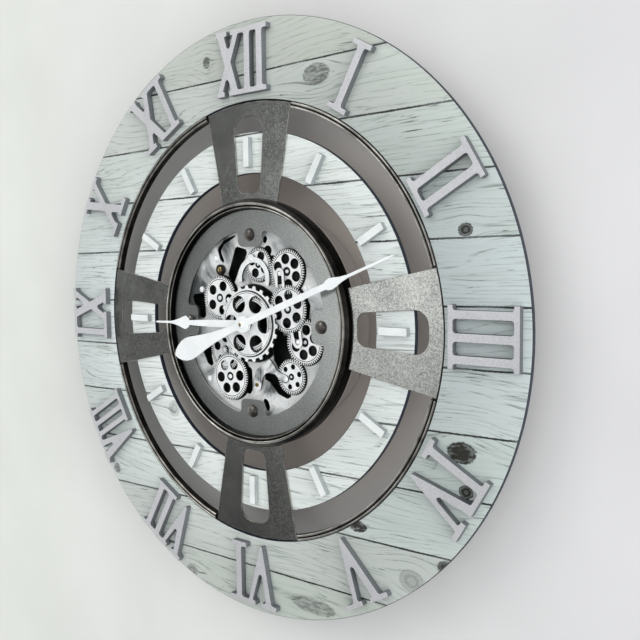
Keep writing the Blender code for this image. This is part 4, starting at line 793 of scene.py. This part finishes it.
def hairpin(name, foot, pin, end, bend, width, back, thickness):
    """A strap bent round a pin, from one foot to the other"""
    toward = (foot[0] + end[0]) / 2 - pin[0], (foot[1] + end[1]) / 2 - pin[1]
    open_angle = math.atan2(toward[1], toward[0])
    path = [Vector(foot)]
    for step in range(13):
        angle = open_angle + math.radians(100) + math.radians(160) * step / 12
        path.append(Vector((pin[0] + bend * math.cos(angle), pin[1] + bend * math.sin(angle))))
    path.append(Vector(end))
    if (path[0] - path[1]).length > (path[0] - path[-2]).length:
        path[0], path[-1] = path[-1], path[0]
    work = bmesh.new()
    rows = []
    for number, point in enumerate(path):
        before, after = path[max(number - 1, 0)], path[min(number + 1, len(path) - 1)]
        run = (after - before).normalized()
        beside = Vector((-run.y, run.x)) * width / 2
        corners = [(point + beside, back), (point + beside, back + thickness),
                   (point - beside, back + thickness), (point - beside, back)]
        rows.append([work.verts.new(at(c.x, c.y, depth)) for c, depth in corners])
    for here, there in zip(rows, rows[1:]):
        for corner in range(4):
            following = (corner + 1) % 4
            face = work.faces.new((here[corner], here[following], there[following], there[corner]))
            # Only the front face is plated; the sides and back are painted near-black as shade
            face.material_index = 0 if corner == 1 else 1
    work.faces.new(rows[0])
    work.faces.new(rows[-1])
    return new_piece(name, work, [nickel, antique_and_shade_black], 30)


# Turned and polished brass: warm yellow metal with faint tarnish
brass = mottled("polished_brass", 260.0, 3.0, BRASS_STOPS, Metallic=1.0, Roughness=0.25)
trim = [
    hairpin("upper_hairpin", (36.0, 37.2), (39.8, 50.7), (44.8, 37.2), 4.2, 3.0, 0.0, 1.2),
    hairpin("lower_hairpin", (54.5, -6.5), (61.8, -15.7), (64.5, -4.5), 4.4, 3.2, 0.0, 1.2),
]
fittings_work = bmesh.new()
for x, z, radius, back, front in (
    (39.8, 50.7, 2.2, -1.9, 1.9), (61.8, -15.7, 2.2, -1.9, 1.9), (-51.8, 66.0, 3.0, -4.7, -1.6),
    (-74.0, 33.6, 3.0, -4.7, -1.6), (-64.5, -62.0, 3.2, -4.7, -1.4), (69.0, 36.0, 3.0, -4.7, -1.6),
    (1.0, 65.0, 2.4, -0.4, 0.9), (45.0, -54.0, 2.2, -0.4, 0.8),
):
    head = [(radius * math.sin(turn), front - 1.0 + math.cos(turn)) for turn in DOME_TURNS]
    spin_into(fittings_work, head + [(radius, back), (0, back)], None, PIN_STEPS, centre=(x, z))
trim.append(new_piece("show_bosses", fittings_work, [nickel]))
collar_work = bmesh.new()
spin_into(collar_work, [(3.2, -4.7), (5.6, -4.7), (5.6, -1.2), (4.9, -0.6), (3.6, -0.6), (3.2, -1.0)],
          None, 32, centre=(-44.6, 54.6))
trim.append(new_piece("dark_collar", collar_work, [bronze]))
screw_work = bmesh.new()
for x, z, radius, back, front in ((-44.6, 54.6, 3.0, -4.7, -0.7), (6.4, -62.2, 2.2, -0.4, 0.9)):
    head = [(0, front), (0.8 * radius, front), (radius, front - 0.3), (radius, back), (0, back)]
    spin_into(screw_work, head, None, PIN_STEPS, centre=(x, z))
trim.append(new_piece("brass_screws", screw_work, [brass]))
for piece in trim:
    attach(piece, "frame")

# --- Mask ring ---
# A flat ring cut from 1.2 mm sheet in front of the gears, with four tabs, in the same
# hammertone coat as the bridge plates. The rivets hold it by its tabs.
mask_pewter = hammertone_pewter("hammertone_mask", "#9DA09E", "#D2D5D2", 0.28)
mask = dressed("mask_ring", "hammered_mask", [mask_pewter, pewter_edge], 0.35, worn=1)
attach(mask, "frame")
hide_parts("mask_ring")

# --- Mask rivets ---
# Four domed steel rivets, blackened and polished, one through each tab into a post of the
# gear plate. One stamping tree makes them all.
RIVET_SEAT = 0.3
RIVET_SIZES = (("Count", "NodeSocketInt", 4), ("Circle", "NodeSocketFloat", 90.0),
               ("Radius", "NodeSocketFloat", 6.5), ("Height", "NodeSocketFloat", 3.4))


def rivet_tree(finish):
    """Domes on a ring of points"""
    tree, given = shaping_tree("riveting", RIVET_SIZES)
    ring = add(tree, "GeometryNodeMeshCircle", {"Vertices": given["Count"], "Radius": given["Circle"]})
    ball = add(tree, "GeometryNodeMeshUVSphere", {"Segments": 40, "Rings": 24, "Radius": 1.0})
    place = add(tree, "GeometryNodeInputPosition")
    height = add(tree, "ShaderNodeSeparateXYZ", {0: place}).outputs["Z"]
    below = add(tree, "ShaderNodeMath", {0: height, 1: 0.0}, operation="LESS_THAN")
    flat = add(tree, "ShaderNodeVectorMath", {0: place, 1: (1, 1, 0)}, operation="MULTIPLY")
    cut = add(tree, "GeometryNodeSetPosition", {"Geometry": ball, "Selection": below, "Position": flat})
    size = add(tree, "ShaderNodeCombineXYZ", {"X": given["Radius"], "Y": given["Radius"],
                                              "Z": given["Height"]})
    dome = add(tree, "GeometryNodeTransform", {"Geometry": cut, "Scale": size})
    set_in = add(tree, "GeometryNodeInstanceOnPoints", {"Points": ring, "Instance": dome})
    made_real = add(tree, "GeometryNodeRealizeInstances", {"Geometry": set_in})
    coated = add(tree, "GeometryNodeSetMaterial", {"Geometry": made_real, "Material": finish})
    add(tree, "NodeGroupOutput", {"Geometry": coated})
    return tree


riveting = rivet_tree(antique_bronze("polished_rivet_bronze", "#4A4643", "#7E7974", 0.8))
rivets = stand("mask_rivet_heads", bpy.data.meshes.new("mask_rivet_heads"))
rivets.modifiers.new("riveting", "NODES").node_group = riveting
settled(rivets)
rivets.data.transform(Matrix.Translation(at(0, 0, RIVET_SEAT)) @ Matrix.Rotation(math.pi / 2, 4, "X")
                      @ Matrix.Scale(MM, 4))
rivets.data.shade_smooth()
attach(rivets, "frame")
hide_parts(*[f"mask_rivet_{hour}" for hour in (12, 3, 6, 9)])

# --- Numerals ---
# Twelve Roman numerals routed from 6.7 mm MDF and sprayed in grey metallic lacquer, matt on
# the routed sides, which are darker partly as painted shade. They are glued to the outer board with their
# feet to the centre.


def metallic_lacquer(name, low, high, roughness):
    """Sprayed silver-grey lacquer: a fine metallic paint, half matt, with spray grain about 1 mm"""
    made, tree, shader, place = new_finish(name, Metallic=0.35)
    grain = add(tree, "ShaderNodeTexNoise", {"Vector": place, "Scale": 900.0, "Detail": 2.0})
    cloud = add(tree, "ShaderNodeTexNoise", {"Vector": place, "Scale": 25.0, "Detail": 2.0})
    both = add(tree, "ShaderNodeMath", {0: cloud, 1: 0.5, 2: grain}, operation="MULTIPLY_ADD")
    hue = set_stops(add(tree, "ShaderNodeValToRGB", {0: both}), [(0.5, low), (1.0, high)])
    rough = add(tree, "ShaderNodeMapRange", {"Value": grain, "To Min": roughness - 0.05,
                                             "To Max": roughness + 0.08})
    connect(shader, {"Base Color": hue, "Roughness": rough})
    return made


numeral_front = metallic_lacquer("numeral_lacquer", "#C0C0C4", "#DBDADD", 0.4)
numeral_side_shade = metallic_lacquer("numeral_side_lacquer_with_painted_shade", "#5F6266", "#7D8184", 0.6)
for hour in range(1, 13):
    numeral = dressed(f"numeral_{hour}", f"routed_numeral_{hour}", [numeral_front, numeral_side_shade], 0.5,
                      sides=1)
    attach(numeral, "frame")
    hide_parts(f"numeral_{hour}")

# --- Index bars ---
# Twelve short bars of 5.8 mm board, white in front and grey on the sawn sides as painted shade,
# glued to the inner ring. Four of them stand in the bridge plates' slots.


def white_enamel(name, low, high, roughness=0.32):
    """Sprayed white enamel: smooth, soft gloss, with faint cloudiness"""
    return mottled(name, 45.0, 3.0, [(0.35, low), (0.65, high)], Roughness=roughness)


bar_front = white_enamel("bar_enamel", "#DDE1E1", "#EBEEEE")
bar_side_shade = white_enamel("bar_side_painted_shade", "#8E9495", "#A2A7A8", 0.5)
for hour in range(1, 13):
    bar = dressed(f"index_bar_{hour}", f"sawn_bar_{hour}", [bar_front, bar_side_shade], 0.35, sides=1)
    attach(bar, "frame")
    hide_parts(f"index_bar_{hour}")

# --- Hands and nut ---
# Two hands stamped from 1.5 mm sheet and enamelled white, the minute hand in front with a
# leaf-shaped tail, held by a brass nut.
hand_white = white_enamel("hand_enamel", "#ECEFF1", "#F5F7F8", 0.28)
for body in ("hour", "minute"):
    hand = dressed(f"{body}_hand", f"{body}_hand_enamelled", [hand_white], 0.3)
    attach(hand, body)
    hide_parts(f"{body}_hand")


def enamelled_nut(name):
    """A turned brass nut, enamelled white round its bare brass tip, about 3.7 mm across"""
    made, tree, shader, place = new_finish(name, Roughness=0.28)
    bare = add(tree, "ShaderNodeMapRange", {"Value": from_axis(tree, place), "From Min": 2.0 * MM,
                                            "From Max": 1.7 * MM})
    worn = add(tree, "ShaderNodeTexNoise", {"Vector": place, "Scale": 400.0, "Detail": 3.0})
    metal = set_stops(add(tree, "ShaderNodeValToRGB", {0: worn}), BRASS_STOPS)
    hue = add(tree, "ShaderNodeMix", {"Factor": bare, "A": linear("#F0F2F3"), "B": metal},
              data_type="RGBA")
    connect(shader, {"Base Color": hue.outputs["Result"], "Metallic": bare})
    return made


nut = dressed("hand_nut", "turned_nut", [enamelled_nut("enamelled_brass")], 0.2)
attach(nut, "minute")
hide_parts("hand_nut")

# --- Works ---
# A black quartz movement, the motor that turns the gears, their two cells, and the knob
# that sets the hands. They are screwed to the back of the case floor.
WRAP_REPEAT = 62.0  # mm from one printed band to the next


def moulded_abs(name):
    """Injection-moulded black ABS with a fine spark-eroded texture"""
    made, tree, shader, place = new_finish(name)
    spark = add(tree, "ShaderNodeTexNoise", {"Vector": place, "Scale": 1500.0, "Detail": 2.0})
    hue = set_stops(add(tree, "ShaderNodeValToRGB", {0: spark}), [(0.3, "#161718"), (0.7, "#232526")])
    bump = add(tree, "ShaderNodeBump", {"Height": spark, "Strength": 0.2, "Distance": 0.0001})
    rough = add(tree, "ShaderNodeMapRange", {"Value": spark, "To Min": 0.4, "To Max": 0.55})
    connect(shader, {"Base Color": hue, "Normal": bump, "Roughness": rough})
    return made


def cell_wrap(name):
    """Plain printed shrink wrap on a dry cell: a dark body and a copper-coloured band, no lettering"""
    made, tree, shader, place = new_finish(name, Roughness=0.3)
    split = add(tree, "ShaderNodeSeparateXYZ", {0: place})
    along = add(tree, "ShaderNodeMath", {0: split.outputs["X"], 1: 1 / (WRAP_REPEAT * MM)},
                operation="MULTIPLY")
    rest = add(tree, "ShaderNodeMath", {0: along}, operation="FRACT")
    hue = set_stops(add(tree, "ShaderNodeValToRGB", {0: rest}),
                    [(0.0, "#2B2F36"), (0.28, "#2B2F36"), (0.285, "#A9744A"), (0.5, "#A9744A")], "CONSTANT")
    connect(shader, {"Base Color": hue})
    return made


abs_black, wrap = moulded_abs("black_abs"), cell_wrap("cell_wrap")
for node in ("quartz_movement", "gear_motor", "setting_knob", "battery_door"):
    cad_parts[node].material_slots[0].material = abs_black
for node in ("clock_battery", "gear_battery"):
    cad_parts[node].material_slots[0].material = wrap

# --- Back cover ---
# A steel disc over the back of the drum, in the drum's own coats, with a keyhole for the wall's
# screw, a hole for the setting knob and a window that the battery door closes.
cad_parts["back_cover"].material_slots[0].material = case_coat

# --- Wall ---
# A plain emulsioned wall behind the clock, for the photograph only. It is clear from behind and
# open under the drum, so that the clock's back can be looked at in daylight.
WALL_REACH, WALL_BEHIND = 4.0, 0.0006  # metres from the clock's axis, and behind its back


def wall_paint():
    """Roller-applied emulsion: off-white and matt, with faint patches 100 to 300 mm wide, and a painted
    shadow that darkens it within about 240 mm of the clock's axis
    """
    made, tree, shader, place = new_finish("wall_emulsion", Roughness=0.9)
    patch = add(tree, "ShaderNodeTexNoise", {"Vector": place, "Scale": 5.0, "Detail": 3.0})
    split = add(tree, "ShaderNodeSeparateXYZ", {0: place})
    across = add(tree, "ShaderNodeMapRange", {"Value": split.outputs["X"], "From Min": -0.5,
                                              "From Max": 0.5})
    side = set_stops(add(tree, "ShaderNodeValToRGB", {0: across}), [(0.0, "#E4E6E1"), (1.0, "#E4E2E5")])
    tint = set_stops(add(tree, "ShaderNodeValToRGB", {0: patch}), [(0.3, "#F6F6F6"), (0.7, "#FFFFFF")])
    hue = add(tree, "ShaderNodeMix", {"Factor": 1.0, "A": side, "B": tint}, data_type="RGBA",
              blend_type="MULTIPLY")
    away = from_axis(tree, place)
    # Painted shadow of the clock: full inside 160 mm of the axis, fading out by 240 mm
    shadow_fade = add(tree, "ShaderNodeMapRange", {"Value": away, "From Min": 0.16, "From Max": 0.24})
    painted_shadow_behind_clock = add(tree, "ShaderNodeMix", {"Factor": shadow_fade, "A": linear("#C4BBB5"),
                                               "B": hue.outputs["Result"]}, data_type="RGBA")
    connect(shader, {"Base Color": painted_shadow_behind_clock.outputs["Result"]})
    clear = add(tree, "ShaderNodeBsdfTransparent")
    behind = add(tree, "ShaderNodeNewGeometry").outputs["Backfacing"]
    under_drum = add(tree, "ShaderNodeMath", {0: away, 1: (CASE_RADIUS - 1.0) * MM}, operation="LESS_THAN")
    unseen = add(tree, "ShaderNodeMath", {0: behind, 1: under_drum}, operation="MAXIMUM")
    seen = add(tree, "ShaderNodeMixShader", {0: unseen, 1: shader, 2: clear})
    output = next(node for node in tree.nodes if node.type == "OUTPUT_MATERIAL")
    tree.links.new(seen.outputs[0], output.inputs["Surface"])
    return made


wall_work = bmesh.new()
wall_work.faces.new([wall_work.verts.new((x * WALL_REACH, WALL_BEHIND, z * WALL_REACH))
                     for x, z in ((-1, -1), (1, -1), (1, 1), (-1, 1))])
wall = piece_of("wall", wall_work, [wall_paint()], SHARP_ANGLE)

# --- Light ---
# A soft window light from the upper left in front, in a pale room that lights the clock more
# from the right. Metal sees that window, a bright strip of the room to the left, and dark beyond.
window = bpy.data.lights.new("window_light", "AREA")
window.shape = "SQUARE"
window.size = 2.0
window.energy = 21.0
window.color = linear("#FFFDFA")[:3]
window_stand = stand("window_light", window)
window_stand.visible_glossy = False
window_stand.location = (-1.25, -2.75, 1.9)
window_stand.rotation_euler = (-window_stand.location).to_track_quat("-Z", "Y").to_euler()

room = bpy.data.worlds.new("pale_room")
bpy.context.scene.world = room
room.use_nodes = True
tree = room.node_tree
tree.nodes.clear()
look_along = add(tree, "ShaderNodeTexCoord").outputs["Generated"]
look = add(tree, "ShaderNodeSeparateXYZ", {0: look_along})
to_left = add(tree, "ShaderNodeMath", {0: look.outputs["X"], 1: -1.0}, operation="MULTIPLY")
to_front = add(tree, "ShaderNodeMath", {0: look.outputs["Y"], 1: -1.0}, operation="MULTIPLY")
round_left = add(tree, "ShaderNodeMath", {0: to_left, 1: to_front}, operation="ARCTAN2")
pane = add(tree, "ShaderNodeMapRange", {"Value": round_left, "From Min": math.radians(34.5),
                                        "From Max": math.radians(41), "To Min": 2.55, "To Max": 0.04},
           interpolation_type="SMOOTHSTEP")
nearer = add(tree, "ShaderNodeMapRange", {"Value": round_left, "From Min": math.radians(22),
                                          "From Max": math.radians(34), "To Min": 0.35, "To Max": 1.0},
             interpolation_type="SMOOTHSTEP")
height = add(tree, "ShaderNodeMath", {0: look.outputs["Z"], 1: 0.03}, operation="ADD")
height = add(tree, "ShaderNodeMath", {0: height}, operation="ABSOLUTE")
sill = add(tree, "ShaderNodeMapRange", {"Value": height, "From Min": 0.05, "From Max": 0.2, "To Min": 1.0,
                                        "To Max": 0.15}, interpolation_type="SMOOTHSTEP")
window_wall = add(tree, "ShaderNodeMath", {0: pane, 1: nearer}, operation="MULTIPLY")
window_wall = add(tree, "ShaderNodeMath", {0: window_wall, 1: sill}, operation="MULTIPLY")
far_side = add(tree, "ShaderNodeMapRange", {"Value": round_left, "From Min": math.radians(56),
                                            "From Max": math.radians(64), "To Min": 0.0, "To Max": 1.5},
               interpolation_type="SMOOTHSTEP")
reflected = add(tree, "ShaderNodeMath", {0: window_wall, 1: far_side}, operation="ADD")
toward = add(tree, "ShaderNodeVectorMath", {0: look_along, 1: window_stand.location.normalized()},
             operation="DOT_PRODUCT").outputs["Value"]
glint = add(tree, "ShaderNodeMapRange", {"Value": toward, "From Min": 0.94, "From Max": 0.97, "To Min": 0.0,
                                         "To Max": 3.0}, interpolation_type="SMOOTHSTEP")
reflected = add(tree, "ShaderNodeMath", {0: reflected, 1: glint}, operation="ADD")
path = add(tree, "ShaderNodeLightPath")
to_right = add(tree, "ShaderNodeMath", {0: look.outputs["Z"], 1: 0.15, 2: look.outputs["X"]},
               operation="MULTIPLY_ADD")
fill = add(tree, "ShaderNodeMapRange", {"Value": to_right, "From Min": -0.5, "From Max": 0.5,
                                        "To Min": 0.4, "To Max": 1.75}, interpolation_type="SMOOTHSTEP")
door = add(tree, "ShaderNodeMapRange", {"Value": to_right, "From Min": 0.7, "From Max": 0.92,
                                        "To Min": 1.0, "To Max": 2.5}, interpolation_type="SMOOTHSTEP")
off_axis = add(tree, "ShaderNodeMath", {0: round_left, 1: math.radians(41)}, operation="ADD")
off_axis = add(tree, "ShaderNodeMath", {0: off_axis}, operation="ABSOLUTE")
curtain = add(tree, "ShaderNodeMapRange", {"Value": off_axis, "From Min": math.radians(9),
                                           "From Max": math.radians(20), "To Min": 0.7, "To Max": 1.0},
              interpolation_type="SMOOTHSTEP")
fill = add(tree, "ShaderNodeMath", {0: fill, 1: door}, operation="MULTIPLY")
fill = add(tree, "ShaderNodeMath", {0: fill, 1: curtain}, operation="MULTIPLY")
strength = add(tree, "ShaderNodeMix", {"Factor": path.outputs["Is Glossy Ray"], "A": fill, "B": reflected})
direct = add(tree, "ShaderNodeMath", {0: path.outputs["Is Camera Ray"],
                                      1: path.outputs["Is Transmission Ray"]}, operation="MAXIMUM")
strength = add(tree, "ShaderNodeMix", {"Factor": direct, "A": strength.outputs["Result"], "B": 1.0})
sky = add(tree, "ShaderNodeBackground", {"Color": linear("#ECEEEE"), "Strength": strength.outputs["Result"]})
add(tree, "ShaderNodeOutputWorld", {"Surface": sky})

# --- Camera ---
# Where the photograph was taken from: to the right of the clock, a little above its middle.
camera_data = bpy.data.cameras.new("photograph")
camera_data.sensor_fit = "HORIZONTAL"
camera_data.sensor_width = 36.0
camera_data.lens = 43.985
camera = stand("photograph", camera_data)
camera.matrix_world = Matrix(((0.78797, -0.03802, 0.61454, 0.54346), (0.61560, 0.06823, -0.78510, -0.63076),
                              (-0.01208, 0.99694, 0.07717, 0.06410), (0, 0, 0, 1)))
bpy.context.scene.camera = camera
bpy.context.scene.view_settings.view_transform = "Standard"
